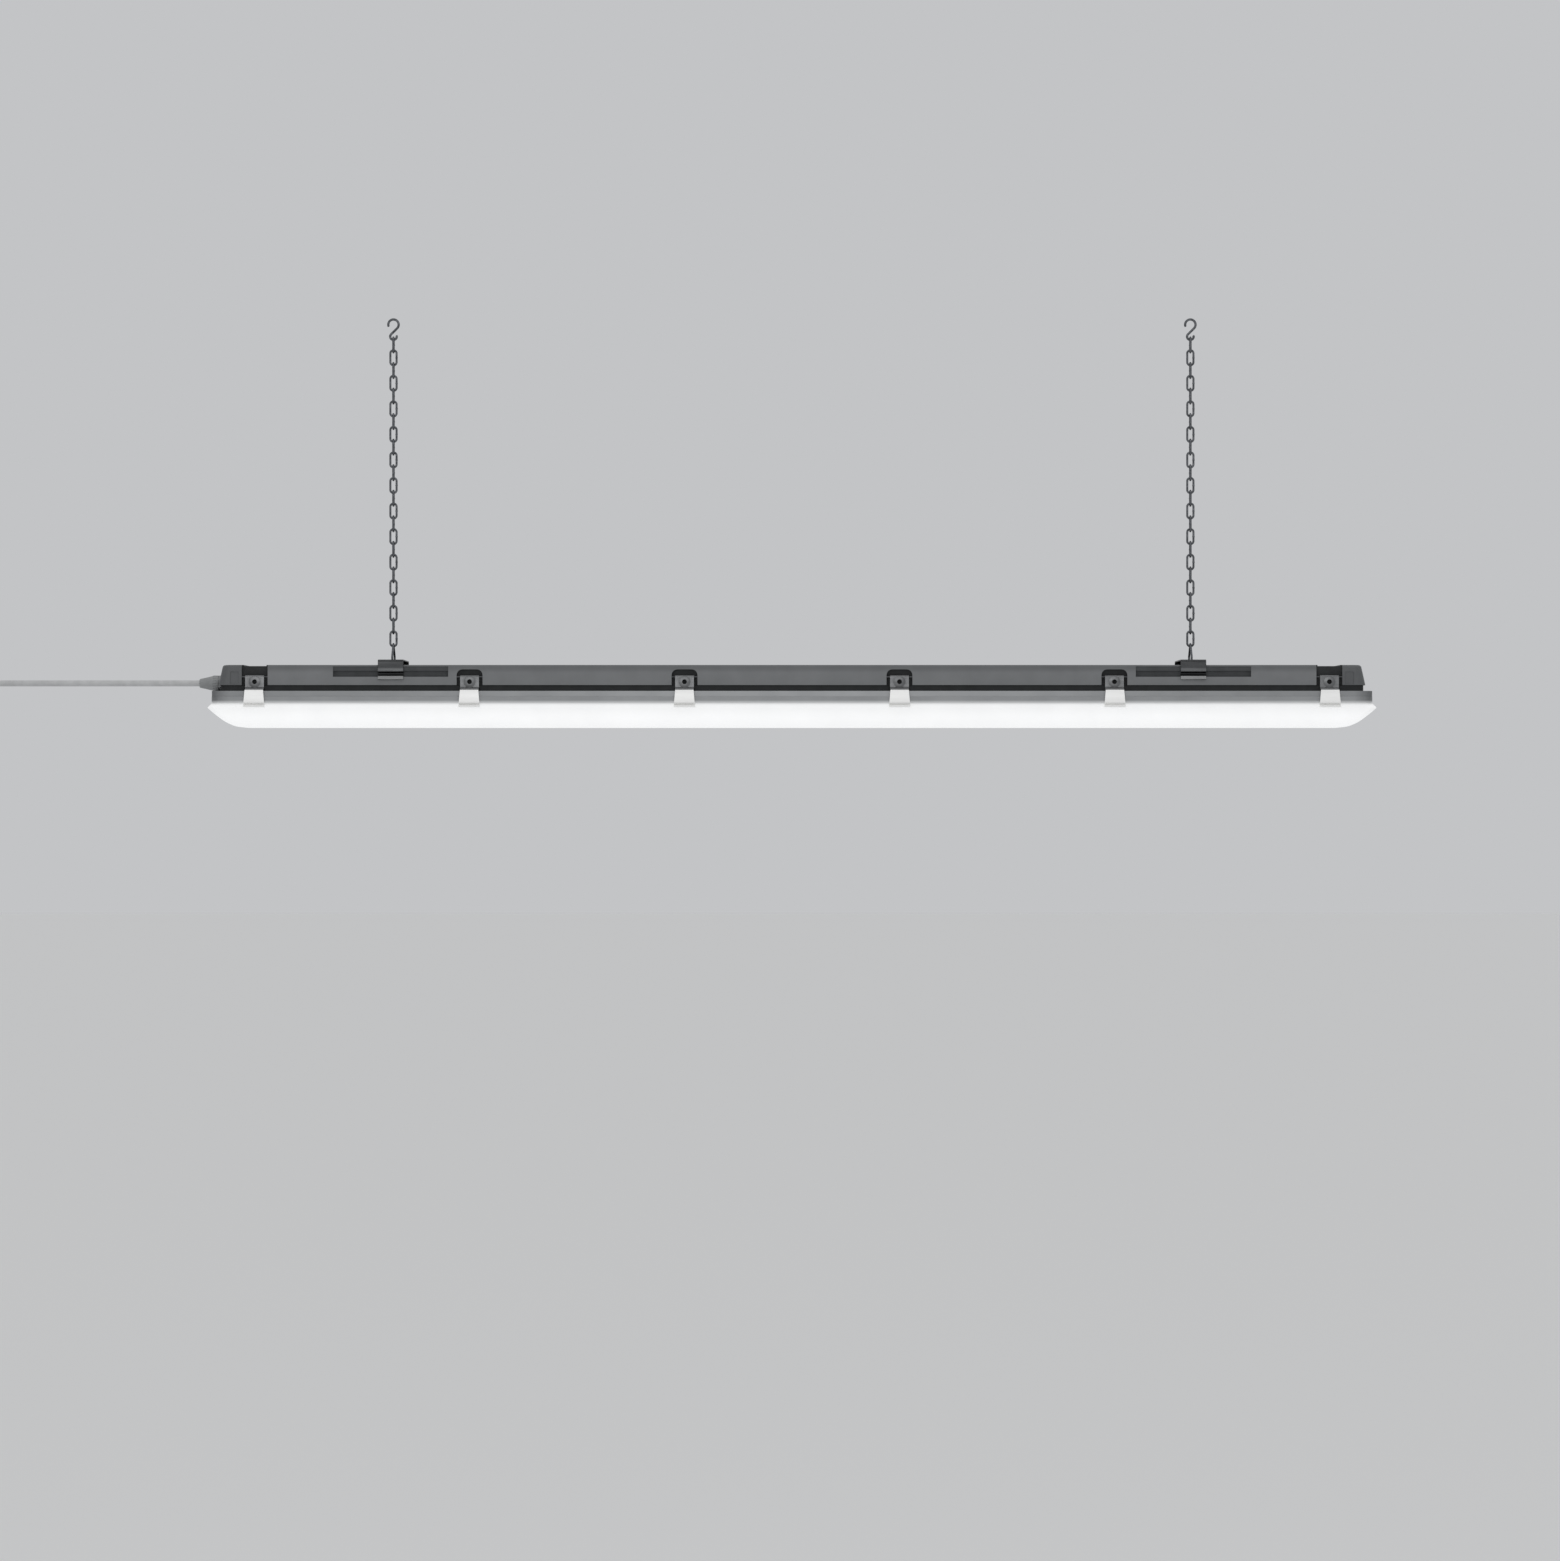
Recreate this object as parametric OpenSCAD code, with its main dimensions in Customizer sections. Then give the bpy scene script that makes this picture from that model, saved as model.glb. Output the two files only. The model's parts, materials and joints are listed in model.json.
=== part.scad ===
// Hanging shop light: a sealed LED batten with a clip-on diffuser, hung level on two chains.
// Millimetres, +Z up, +X along the light. The origin is midway between the two top hooks,
// at the height where they rest on whatever holds them up.

/* [Light] */
// Length over the tips of the diffuser
light_len = 1220; // [1200:10:1400]
// Width over the diffuser's rim
light_w = 84; // [82:1:92]
// Moulded wall of the housing
wall = 2.4; // [2:0.1:2.8]

/* [Housing] */
// Height of the upper body, from its top down to the neck
body_h = 21; // [20:0.5:26]
// Height of the narrower neck between the body and the rim
neck_h = 6.2; // [5.5:0.1:8]
// Height of the rim that the diffuser closes against
rim_h = 5.8; // [5:0.1:8]
// How far the rim stands out past the body's side
rim_out = 6; // [5.5:0.1:7]
// How far the neck is set in from the body's side
neck_in = 1.5; // [1:0.1:2]
// Distance from a diffuser tip to the body's end wall, at the neck
end_in = 12; // [11:0.5:16]

/* [Diffuser] */
// Height of the diffuser's rim
lens_rim_h = 6; // [5:0.5:8]
// Depth of the diffuser's trough below its rim
lens_drop = 26; // [24:1:34]
// Wall of the diffuser
lens_wall = 2; // [1.6:0.1:2.4]

/* [Latches] */
// Sheet thickness of a latch
latch_t = 1; // [0.8:0.1:1.2]
// Width of a latch where it leaves its pin
latch_w = 19.6; // [18:0.2:22]
// Width of a latch's finger tab
latch_tab_w = 22.4; // [20:0.2:24]
// Diameter of the hinge pins
pin_d = 1.6; // [1.4:0.1:2]
// Distance from a diffuser tip to the middle of the first latch
latch_end = 50.5; // [46:0.5:60]
// Diameter of the hole in a latch
latch_hole_d = 5; // [3:0.5:6]

/* [Brackets] */
// Distance from a diffuser tip to the middle of its bracket
hanger_end = 192; // [186:1:200]
// Width of a bracket along the light
bracket_w = 26.5; // [24:0.5:30]
// Sheet thickness of a bracket
bracket_t = 1.2; // [1:0.1:1.5]
// Height of a bracket's top above the housing
bracket_rise = 5.6; // [5.4:0.1:8]
// Length of the groove that a bracket slides in
groove_len = 120; // [90:1:124]
// Diameter of the ceiling screw hole in a bracket
screw_hole_d = 5.5; // [4.5:0.1:6]
// Offset of the ceiling screw hole from the middle of its bracket
screw_off = 8.5; // [8:0.1:9]

/* [Chains] */
// Number of links in a chain
link_count = 24; // [8:2:40]
// Distance from one link to the next
link_pitch = 13.4; // [12:0.1:16]
// Wire of the links
link_wire = 2.2; // [2:0.1:2.4]
// Outer width of a link
link_w = 8.8; // [8.4:0.1:10]
// Wire of the top hooks
hook_wire = 2.5; // [2.4:0.1:3]
// Inner diameter of a top hook's upper loop
hook_loop_d = 8.4; // [8:0.1:10]
// Wire of the stirrup that joins a chain to its bracket
stirrup_wire = 2.2; // [1.8:0.1:2.4]
// Height of the stirrup's apex above its bracket
stirrup_rise = 17.2; // [14:0.1:24]
// Distance between the stirrup's two feet
stirrup_w = 30; // [24:1:40]

/* [Gear] */
// Length of the driver case
driver_len = 230; // [180:5:300]
// Width of the driver case
driver_w = 40; // [32:1:44]
// Width of the LED boards
board_w = 20; // [14:1:22]
// Sheet thickness of the gear tray
tray_t = 1; // [0.8:0.1:1.2]
// Spacing of the LED chips along a board
chip_pitch = 18; // [12:1:30]

/* [Cord] */
// Diameter of the mains cord
cord_d = 6.4; // [5.6:0.1:6.6]
// Diameter of the gland's cap where it meets the housing
gland_d = 16.4; // [15.6:0.1:17]
// Length of the gland's tapered cap
gland_len = 20; // [20:1:30]

/* [Hidden] */
$fn = 48;
// Clearances: between seated pieces, round a pin that turns, in a fixed fit, and between links
seat = 0.3;
run = 0.08;
snug = 0.05;
link_gap = 0.2;
wire_sides = 14;

// Chain: wire radii, bend radii and heights, from the top hooks down
link_r = link_wire / 2;
bend_r = link_w / 2 - link_r;
link_half = (link_pitch + link_wire + link_gap) / 2;
link_straight = 2 * (link_half - bend_r);
hook_r = hook_wire / 2;
loop_r = hook_loop_d / 2 + hook_r;
eye_r = bend_r - link_r + hook_r;
hook_span = loop_r + eye_r + 3.6;
hook_lean = asin((loop_r + eye_r) / hook_span);
loop_open_deg = 205;
eye_end_deg = 385;
loop_z = -hook_loop_d / 2;
eye_z = loop_z - hook_span;
hook_low_z = eye_z - eye_r;
first_link_z = hook_low_z + hook_r + link_r + link_gap - link_half;
last_link_z = first_link_z - (link_count - 1) * link_pitch;
stirrup_r = stirrup_wire / 2;
apex_z = last_link_z - link_half + link_r + stirrup_r + link_gap;
bracket_z = apex_z - stirrup_rise;

// Housing: levels from its top down, half lengths and half widths
top_z = bracket_z - bracket_rise;
neck_z = top_z - body_h;
rim_z = neck_z - neck_h;
seam_z = rim_z - rim_h;
lens_z = seam_z - lens_rim_h;
tip_x = light_len / 2;
lens_y = light_w / 2;
rim_x = tip_x - 5.5;
lens_x = tip_x - 5;
rim_y = lens_y - 0.5;
body_y = lens_y - 0.5 - rim_out;
body_x = tip_x - end_in;
draft = 4;
top_round = 3;
neck_y = body_y - neck_in;
neck_x = body_x - 2;
corner_r = 10;
cavity_x = body_x - draft - top_round - wall;
cavity_y = neck_y - wall;
top_wall = wall + 0.8;
cavity_top = top_z - top_wall;
notch_deep = 1.2;
notch_from = latch_end + 12;
notch_to = latch_end - 11.5;
panel = [9, 13];
panel_top = top_z - 7;
panel_deep = 0.6;

// Latches and the pockets they hinge in
latch_count = 6;
latch_step = (light_len - 2 * latch_end) / (latch_count - 1);
pin_r = pin_d / 2;
eye_out = pin_r + run + latch_t;
pin_y = body_y - 0.9;
pin_z = top_z - 12.5;
pocket_w = latch_w + 7.4;
pocket_y = pin_y - eye_out - 0.5;
pocket_top = top_z - 4.7;
pin_grip = 2.5;
latch_reach = 0.4;
latch_slant = 1.2;
latch_drop = 4.4;
ring_d = 2 * (latch_hole_d / 2 + 3.5);
ring_h = 0.4;
hole_z = top_z - 17.6;
panel_x = tip_x - latch_end + pocket_w / 2 + pin_grip + 0.5 + panel[0] / 2;

// Brackets and their grooves
hanger_x = tip_x - hanger_end;
arm_y = body_y + 0.1;
relief_y = arm_y - bracket_t / 2 - seat;
slot_top = top_z - 6.2;
slot_low = top_z - 12.4;
slot_y = body_y - 3.2;
relief_top = top_z - 1.6;
foot_r = stirrup_r + seat;
foot_tail = 5;
bracket_bulge = 1;

// Gasket between the rims
gasket_w = 2.8;
gasket_in = 1.6;
gasket_deep = 3;
gasket_x = rim_x - gasket_in;
gasket_y = rim_y - gasket_in;

// Diffuser: land that the gasket presses on, and the half sizes of the trough level by level
land = 6.2;
trough_in = 3;
trough = [
    [0, 5.5, trough_in, 12],
    [5.5, 0, trough_in, 14],
    [10.6, 6, trough_in + 0.5, 14],
    [15, 11.6, trough_in + 1.5, 14],
    [lens_drop - 6.3, lens_drop - 8, trough_in + 3.5, 13],
    [lens_drop - 3, lens_drop - 1.6, trough_in + 6.2, 12],
    [lens_drop - 1, lens_drop + 4, trough_in + 9.6, 10],
    [lens_drop, lens_drop + 12, trough_in + 15, 8]
];

// Gear tray, boards, driver and terminal
tray_z = seam_z + 2;
tray_y = cavity_y - 0.6;
tray_x = cavity_x - 5;
tray_lip = 6;
boss_r = 4.5;
boss_y = 22;
boss_end = tip_x - 110;
boss_mid = driver_len / 2 + 65;
boss_x = [-boss_end, -boss_mid, boss_mid, boss_end];
screw_r = 1.9;
screw_len = 12;
board_t = 1.6;
board_gap = 6;
board_x = tray_x - 15;
board_len = board_x - board_gap / 2;
chip_count = floor((board_len - 20) / chip_pitch);
chip = [3.5, 2.8, 0.7];
driver_h = 20;
driver_wall = 1;
driver_base_h = 6;
driver_foot = 14;
terminal = [30, 24, 12];
terminal_end = 170;
terminal_x = -tip_x + terminal_end;
lead_r = 0.9;
lead_pitch = 5;
lead_z = tray_z + 7;
lead_spread = [2.1, 3.4];
lead_stops = [4, 12, 20];
drop_x = driver_len / 2 + 22;
drop_y = 3;
drop_r = 0.8;
grommet_r = 6.5;

// Gland, cord and plug
gland_z = top_z - 18.5;
gland_hex = 3;
gland_r = gland_d / 2;
gland_stub_r = 6;
cord_r = cord_d / 2;
cord_bore = cord_r + 0.1;
gland_face = -tip_x + end_in;
cap_face = gland_face - gland_hex;
mouth_x = cap_face - gland_len;
mouth_r = cord_r + 1.4;
stub_out = 6;
seal_len = 5;
locknut_t = 4;
tail_in = 22;
cord_sides = 12;
// The cord runs straight and taut from the gland's mouth to the plug's relief, in round numbers
cord_line = [-380.5, 0];
cord_stops = [
    -621, -636, -651, -666, -681, -696, -711, -726,
    -741, -756, -771, -786, -801, -816, -831, -840
];
plug_x = cord_stops[len(cord_stops) - 1];
plug_relief_len = 22;
plug_len = 36;
plug_size = [26, 22];
blade = [17.5, 1.5, 6.3];
blade_gap = 12.7;
ground_d = 4.8;
ground_len = 20.5;
ground_drop = 11.9;

// ---- shared shapes ----

function unit(v) = v / norm(v);
function across(v) = [-v[1], v[0]];
function latch_x(i) = (i - 1 - (latch_count - 1) / 2) * latch_step;

// A point of a strip's edge: the polyline's corner i moved sideways by half the strip, mitred
function edge(p, i, half) =
    let (
        before = unit(p[max(i, 1)] - p[max(i, 1) - 1]),
        after = unit(p[min(i, len(p) - 2) + 1] - p[min(i, len(p) - 2)]),
        mitre = unit(across(before) + across(after))
    )
    p[i] + mitre * half / (mitre * across(before));

function heading(a, b) = atan2(b[1] - a[1], b[0] - a[0]);
function turn(p, i) =
    let (t = heading(p[i], p[i + 1]) - heading(p[i - 1], p[i]))
    t - 360 * round(t / 360);

// A sheet bent along a polyline
module strip(p, t) {
    polygon(concat(
        [for (i = [0 : len(p) - 1]) edge(p, i, t / 2)],
        [for (i = [len(p) - 1 : -1 : 0]) edge(p, i, -t / 2)]
    ));
}

// Rectangle with round corners, from its half sizes
module plan(x, y, r) {
    square([2 * x - 2 * r, 2 * y], center = true);
    square([2 * x, 2 * y - 2 * r], center = true);
    for (i = [-1, 1], j = [-1, 1])
        translate([i * (x - r), j * (y - r)]) circle(r, $fn = 32);
}

module slab(x, y, r, z, h) {
    translate([0, 0, z]) linear_extrude(h) plan(x, y, r);
}

// A profile in Y and Z, drawn out along X and centred
module along_x(w) {
    rotate([90, 0, 90]) translate([0, 0, -w / 2]) linear_extrude(w) children();
}

// Shapes drawn flat, stood up in the XZ plane or in the YZ plane
module upright_x() { rotate([90, 0, 0]) children(); }
module upright_y() { rotate([90, 0, 90]) children(); }

module arc(radius, r, from, to) {
    rotate([0, 0, from]) rotate_extrude(angle = to - from, $fn = 40)
        translate([radius, 0]) circle(r, $fn = 20);
}

// Points along an arc, and along a polyline whose corners are bent to one radius
function arc_points(middle, radius, from, to, steps) =
    [for (i = [0 : steps]) let (a = from + (to - from) * i / steps) middle + radius * [cos(a), sin(a)]];
function corner(p, i, bend, steps) =
    let (
        before = heading(p[i - 1], p[i]),
        way = [cos(before), sin(before)],
        side = sign(turn(p, i)),
        start = p[i] - bend * tan(abs(turn(p, i)) / 2) * way,
        from = before - 90 * side
    )
    arc_points(start + side * bend * across(way), bend, from, from + turn(p, i), steps);
function rounded(p, bend, steps) =
    [for (i = [0 : len(p) - 1]) each i == 0 || i == len(p) - 1 ? [p[i]] : corner(p, i, bend, steps)];

// A flat outline's points stood up in the XZ plane or in the YZ plane
function in_xz(p) = [for (q = p) [q[0], 0, q[1]]];
function in_yz(p) = [for (q = p) [0, q[0], q[1]]];

// A round tube swept along points: a ring at each point, square to the way through it.
// The second direction, flat, only has to stay clear of the tube's own direction.
function tube_ring(p, i, r, sides, flat) =
    let (
        way = unit(p[min(i + 1, len(p) - 1)] - p[max(i - 1, 0)]),
        side = unit(cross(way, flat)),
        up = cross(side, way)
    )
    [for (a = [0 : sides - 1]) p[i] + r * (cos(360 * a / sides) * side + sin(360 * a / sides) * up)];
function tube_band(i, n) =
    [for (a = [0 : n - 1]) let (b = (a + 1) % n) each [
        [i * n + a, i * n + n + a, i * n + b],
        [i * n + b, i * n + n + a, i * n + n + b]
    ]];
function tube_end(first, n, back) =
    [for (a = [1 : n - 2]) back ? [first, first + a, first + a + 1] : [first, first + a + 1, first + a]];

module tube(p, r, sides, flat) {
    last = len(p) - 1;
    polyhedron(
        points = [for (i = [0 : last]) each tube_ring(p, i, r, sides, flat)],
        faces = concat(
            [for (i = [0 : last - 1]) each tube_band(i, sides)],
            tube_end(0, sides, true),
            tube_end(last * sides, sides, false)
        )
    );
}

module cyl_x(x0, x1, r) {
    translate([x0, 0, 0]) rotate([0, 90, 0]) cylinder(h = x1 - x0, r = r);
}

// ---- chains ----

module link() {
    for (s = [0, 1])
        mirror([0, s, 0]) translate([0, link_straight / 2, 0]) arc(bend_r, link_r, 0, 180);
    for (s = [-1, 1])
        translate([s * bend_r, -link_straight / 2, 0]) rotate([-90, 0, 0])
            cylinder(h = link_straight, r = link_r, $fn = 20);
}

// Link number n of a chain, counted from the top: odd ones edge on, even ones face on
module chain_link(side, n) {
    translate([side * hanger_x, 0, first_link_z - (n - 1) * link_pitch])
        if (n % 2 == 1) upright_y() link();
        else upright_x() link();
}

// S-shaped hook: an open loop above, a closed eye below, joined by a straight run between them
module top_hook(side) {
    path = concat(
        arc_points([0, loop_z], loop_r, loop_open_deg, -hook_lean, 28),
        arc_points([0, eye_z], eye_r, 180 - hook_lean, eye_end_deg, 24)
    );
    color("silver") translate([side * hanger_x, 0, 0]) tube(in_xz(path), hook_r, wire_sides, [0, 1, 0]);
}

module top_link(side) { color("silver") chain_link(side, 1); }
module chain(side) { color("silver") for (n = [2 : link_count - 1]) chain_link(side, n); }
module end_link(side) { color("silver") chain_link(side, link_count); }

// Wire stirrup: an apex that the last link holds, two legs, and feet hooked under the bracket
module stirrup(side) {
    half = stirrup_w / 2;
    knee_z = bracket_z + 4;
    foot_z = bracket_z - bracket_t - seat - stirrup_r;
    apex = [0, apex_z - bend_r];
    reach = [half, knee_z] - apex;
    lean = atan2(reach[1], reach[0]) + acos(bend_r / norm(reach));
    leg = rounded([
        apex + bend_r * [cos(lean), sin(lean)],
        [half, knee_z], [half, foot_z], [half + foot_tail, foot_z]
    ], stirrup_r + 0.5, 6);
    last = len(leg) - 1;
    path = concat(
        [for (i = [last : -1 : 1]) [-leg[i][0], leg[i][1]]],
        arc_points(apex, bend_r, 180 - lean, lean, 12),
        [for (i = [1 : last]) leg[i]]
    );
    color("silver") translate([side * hanger_x, 0, 0]) tube(in_yz(path), stirrup_r, wire_sides, [1, 0, 0]);
}

// Spring clip over the housing's back: a raised top, arms down both sides, hooks in the grooves
module bracket(side) {
    arm = [
        [arm_y, bracket_z - bracket_t / 2],
        [arm_y, slot_top + 3.6],
        [arm_y + bracket_bulge, slot_top - 0.1],
        [slot_y + seat + bracket_t / 2, slot_top - 1.9],
        [slot_y + seat + bracket_t / 2, slot_top - 3.4],
        [body_y + 0.6, slot_low + 0.7],
        [body_y + 2.1, slot_low - 2.8]
    ];
    last = len(arm) - 1;
    path = concat([for (i = [last : -1 : 0]) [-arm[i][0], arm[i][1]]], arm);
    color("gainsboro") difference() {
        translate([side * hanger_x, 0, 0]) along_x(bracket_w) strip(path, bracket_t);
        for (s = [-1, 1])
            translate([side * hanger_x, s * stirrup_w / 2, bracket_z - 2 * bracket_t])
                cylinder(h = 3 * bracket_t, r = foot_r);
        translate([side * (hanger_x + screw_off), 0, bracket_z - 2 * bracket_t])
            cylinder(h = 3 * bracket_t, r = screw_hole_d / 2);
    }
}

// ---- housing, gasket and diffuser ----

module at_latches() {
    for (i = [1 : latch_count], s = [0, 1])
        translate([latch_x(i), 0, 0]) mirror([0, s, 0]) children();
}

module at_grooves() {
    for (side = [-1, 1], s = [0, 1])
        translate([side * hanger_x, 0, 0]) mirror([0, s, 0]) children();
}

// A block from y0 outwards to y1 and from z0 up to z1, centred on X
module block(w, y0, y1, z0, z1) {
    translate([-w / 2, y0, z0]) cube([w, y1 - y0, z1 - z0]);
}

module body_shell() {
    hull() {
        slab(body_x - draft - top_round, body_y - top_round, corner_r - top_round, top_z - 1, 1);
        slab(body_x - draft, body_y, corner_r, top_z - top_round - 1, 1);
        slab(body_x, body_y, corner_r, neck_z, 1);
    }
    slab(neck_x, neck_y, corner_r, rim_z - 1, neck_h + 2);
    slab(rim_x, rim_y, corner_r + 2, seam_z, rim_h);
    translate([0, 0, gland_z]) cyl_x(gland_face, gland_face + 8, gland_r + 1);
}

// The hollow inside, less the backs of the pockets and grooves and the screw bosses
module cavity() {
    difference() {
        slab(cavity_x, cavity_y, corner_r - wall, seam_z - 1, cavity_top - seam_z + 1);
        at_latches() block(pocket_w + 2 * wall, pocket_y - wall, body_y, neck_z - 1, top_z);
        at_grooves() block(groove_len + 2 * wall, slot_y - wall, body_y, slot_low - wall, top_z);
        for (x = boss_x, s = [-1, 1])
            translate([x, s * boss_y, tray_z]) cylinder(h = top_z - tray_z, r = boss_r);
    }
}

module housing() {
    color("dimgray") difference() {
        body_shell();
        cavity();
        // pockets, open downwards, and right through the top edge at the two ends
        for (i = [1 : latch_count], s = [0, 1])
            translate([latch_x(i), 0, 0]) mirror([0, s, 0])
                block(
                    pocket_w, pocket_y, lens_y, neck_z - 1,
                    i == 1 || i == latch_count ? top_z + 1 : pocket_top
                );
        for (i = [1 : latch_count], s = [-1, 1])
            translate([latch_x(i), s * pin_y, pin_z])
                cyl_x(-pocket_w / 2 - pin_grip, pocket_w / 2 + pin_grip, pin_r + snug);
        at_grooves() {
            block(groove_len, relief_y, lens_y, slot_low, relief_top);
            block(groove_len, slot_y, lens_y, slot_low, slot_top);
        }
        // the shallow step across the top, between the middle and each end block
        for (side = [-1, 1])
            translate([side * (tip_x - (notch_from + notch_to) / 2), 0, 0])
                block(notch_from - notch_to, -lens_y, lens_y, top_z - notch_deep, top_z + 1);
        difference() {
            slab(gasket_x, gasket_y, corner_r, seam_z - 1, gasket_deep + 1);
            slab(gasket_x - gasket_w, gasket_y - gasket_w, corner_r - gasket_w, seam_z - 2, gasket_deep + 3);
        }
        for (x = boss_x, s = [-1, 1])
            translate([x, s * boss_y, tray_z - 1]) cylinder(h = screw_len, r = screw_r + snug);
        translate([0, 0, gland_z]) cyl_x(gland_face - 1, -cavity_x + 1, gland_stub_r + snug);
        // a shallow panel let into each side of both end blocks
        for (side = [-1, 1], s = [0, 1])
            translate([side * panel_x, 0, 0]) mirror([0, s, 0])
                block(panel[0], body_y - panel_deep, lens_y, panel_top - panel[1], panel_top);
    }
}

module gasket() {
    inner = gasket_w - snug;
    color("black") difference() {
        slab(gasket_x - snug, gasket_y - snug, corner_r - snug, seam_z, gasket_deep - snug);
        slab(gasket_x - inner, gasket_y - inner, corner_r - inner, seam_z - 1, gasket_deep + 2);
    }
}

module diffuser() {
    color("white") difference() {
        union() {
            slab(lens_x, lens_y, corner_r + 2.5, lens_z, lens_rim_h);
            hull() for (t = trough) slab(tip_x - t[1], lens_y - t[2], t[3], lens_z - t[0], 0.01);
        }
        hull() {
            slab(lens_x - land, lens_y - land, corner_r - 2, seam_z, 1);
            for (t = trough)
                slab(
                    min(tip_x - t[1] - 1.4 * lens_wall, lens_x - 1.3 * lens_wall),
                    lens_y - t[2] - lens_wall, t[3] - 1,
                    lens_z - t[0] + lens_wall * min(1, t[0] / 20), 0.01
                );
        }
    }
}

// ---- latches ----

module latch() {
    plate_y = pin_y + eye_out - latch_t / 2;
    outer_y = lens_y + latch_reach + latch_t / 2;
    path = [
        [plate_y, pin_z],
        [plate_y, rim_z + 3.7],
        [outer_y, rim_z + 0.6],
        [outer_y + latch_slant, lens_z - 0.5],
        [lens_y - 1.3, lens_z - 1.7],
        [lens_y + 2.2, lens_z - latch_drop]
    ];
    shoulder = rim_z + 2;
    foot = lens_z - latch_drop - 1;
    color("gainsboro") difference() {
        intersection() {
            union() {
                along_x(latch_tab_w) strip(path, latch_t);
                translate([0, pin_y, pin_z]) cyl_x(-latch_tab_w / 2, latch_tab_w / 2, eye_out);
                translate([0, plate_y, hole_z]) rotate([-90, 0, 0])
                    cylinder(h = latch_t / 2 + ring_h, r = ring_d / 2);
            }
            translate([0, lens_y + 10, 0]) rotate([90, 0, 0]) linear_extrude(lens_y) polygon([
                [-latch_w / 2, pin_z + eye_out + 1], [latch_w / 2, pin_z + eye_out + 1],
                [latch_w / 2, shoulder + 0.7], [latch_w / 2 - 0.7, shoulder],
                [latch_tab_w / 2, foot], [-latch_tab_w / 2, foot],
                [-latch_w / 2 + 0.7, shoulder], [-latch_w / 2, shoulder + 0.7]
            ]);
        }
        translate([0, pin_y, pin_z]) cyl_x(-latch_tab_w, latch_tab_w, pin_r + run);
        translate([0, pin_y, hole_z]) rotate([-90, 0, 0]) cylinder(h = lens_y, r = latch_hole_d / 2);
    }
}

module latch_front(i) { translate([latch_x(i), 0, 0]) mirror([0, 1, 0]) latch(); }
module latch_rear(i) { translate([latch_x(i), 0, 0]) latch(); }

module latch_pins() {
    half = pocket_w / 2 + pin_grip - 0.2;
    color("silver") at_latches() translate([0, pin_y, pin_z]) cyl_x(-half, half, pin_r);
}

// ---- gear inside ----

module gear_tray() {
    path = [
        [-tray_y + tray_t / 2, tray_z + tray_lip], [-tray_y + tray_t / 2, tray_z - tray_t / 2],
        [tray_y - tray_t / 2, tray_z - tray_t / 2], [tray_y - tray_t / 2, tray_z + tray_lip]
    ];
    color("whitesmoke") difference() {
        along_x(2 * tray_x) strip(path, tray_t);
        for (x = boss_x, s = [-1, 1])
            translate([x, s * boss_y, tray_z - 2]) cylinder(h = 3, r = screw_r + seat);
        for (s = [-1, 1])
            translate([s * (driver_len + driver_foot) / 2, 0, tray_z - 2])
                cylinder(h = 3, r = screw_r / 2 + snug + 0.5);
        translate([drop_x, 0, tray_z - 2]) cylinder(h = 3, r = grommet_r - 1.5);
    }
}

module tray_screws() {
    color("silver") for (x = boss_x, s = [-1, 1]) translate([x, s * boss_y, 0]) {
        translate([0, 0, tray_z - tray_t - 2]) cylinder(h = 2, r = 3.6);
        translate([0, 0, tray_z - tray_t - 1]) cylinder(h = screw_len - 1, r = screw_r);
    }
}

module tray_grommet() {
    color("black") translate([drop_x, 0, tray_z]) difference() {
        union() {
            cylinder(h = 1.5, r = grommet_r);
            translate([0, 0, -tray_t]) cylinder(h = 2, r = grommet_r - 1.5 - snug);
        }
        translate([0, 0, -tray_t - 1]) cylinder(h = 5, r = drop_y + drop_r + seat);
    }
}

module led_board(side) {
    color("white") translate([side * (board_gap + board_len) / 2, 0, 0])
        block(board_len, -board_w / 2, board_w / 2, tray_z - tray_t - board_t, tray_z - tray_t);
}

module led_chips() {
    low = tray_z - tray_t - board_t;
    color("khaki") for (side = [-1, 1], i = [0 : chip_count - 1])
        translate([side * ((board_gap + board_len) / 2 + (i - (chip_count - 1) / 2) * chip_pitch), 0, 0])
            block(chip[0], -chip[1] / 2, chip[1] / 2, low - chip[2], low);
}

module board_link() {
    low = tray_z - tray_t - board_t;
    color("ivory") block(board_gap + 12, -4, 4, low - 2.6, low);
}

module driver_base() {
    foot_x = (driver_len + driver_foot) / 2;
    inner = driver_w / 2 - driver_wall;
    color("silver") difference() {
        union() {
            block(driver_len, -driver_w / 2, driver_w / 2, tray_z, tray_z + driver_base_h);
            block(driver_len + 2 * driver_foot, -8, 8, tray_z, tray_z + driver_wall);
        }
        block(
            driver_len - 2 * driver_wall, -inner, inner,
            tray_z + driver_wall, tray_z + driver_base_h + 1
        );
        for (s = [-1, 1])
            translate([s * foot_x, 0, tray_z - 1]) cylinder(h = 3, r = screw_r / 2 + snug + 0.5);
    }
}

module driver_cover() {
    base = tray_z + driver_base_h;
    inner = driver_w / 2 - driver_wall;
    color("white") difference() {
        block(driver_len, -driver_w / 2, driver_w / 2, base, tray_z + driver_h);
        block(driver_len - 2 * driver_wall, -inner, inner, base - 1, tray_z + driver_h - driver_wall);
    }
}

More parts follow.
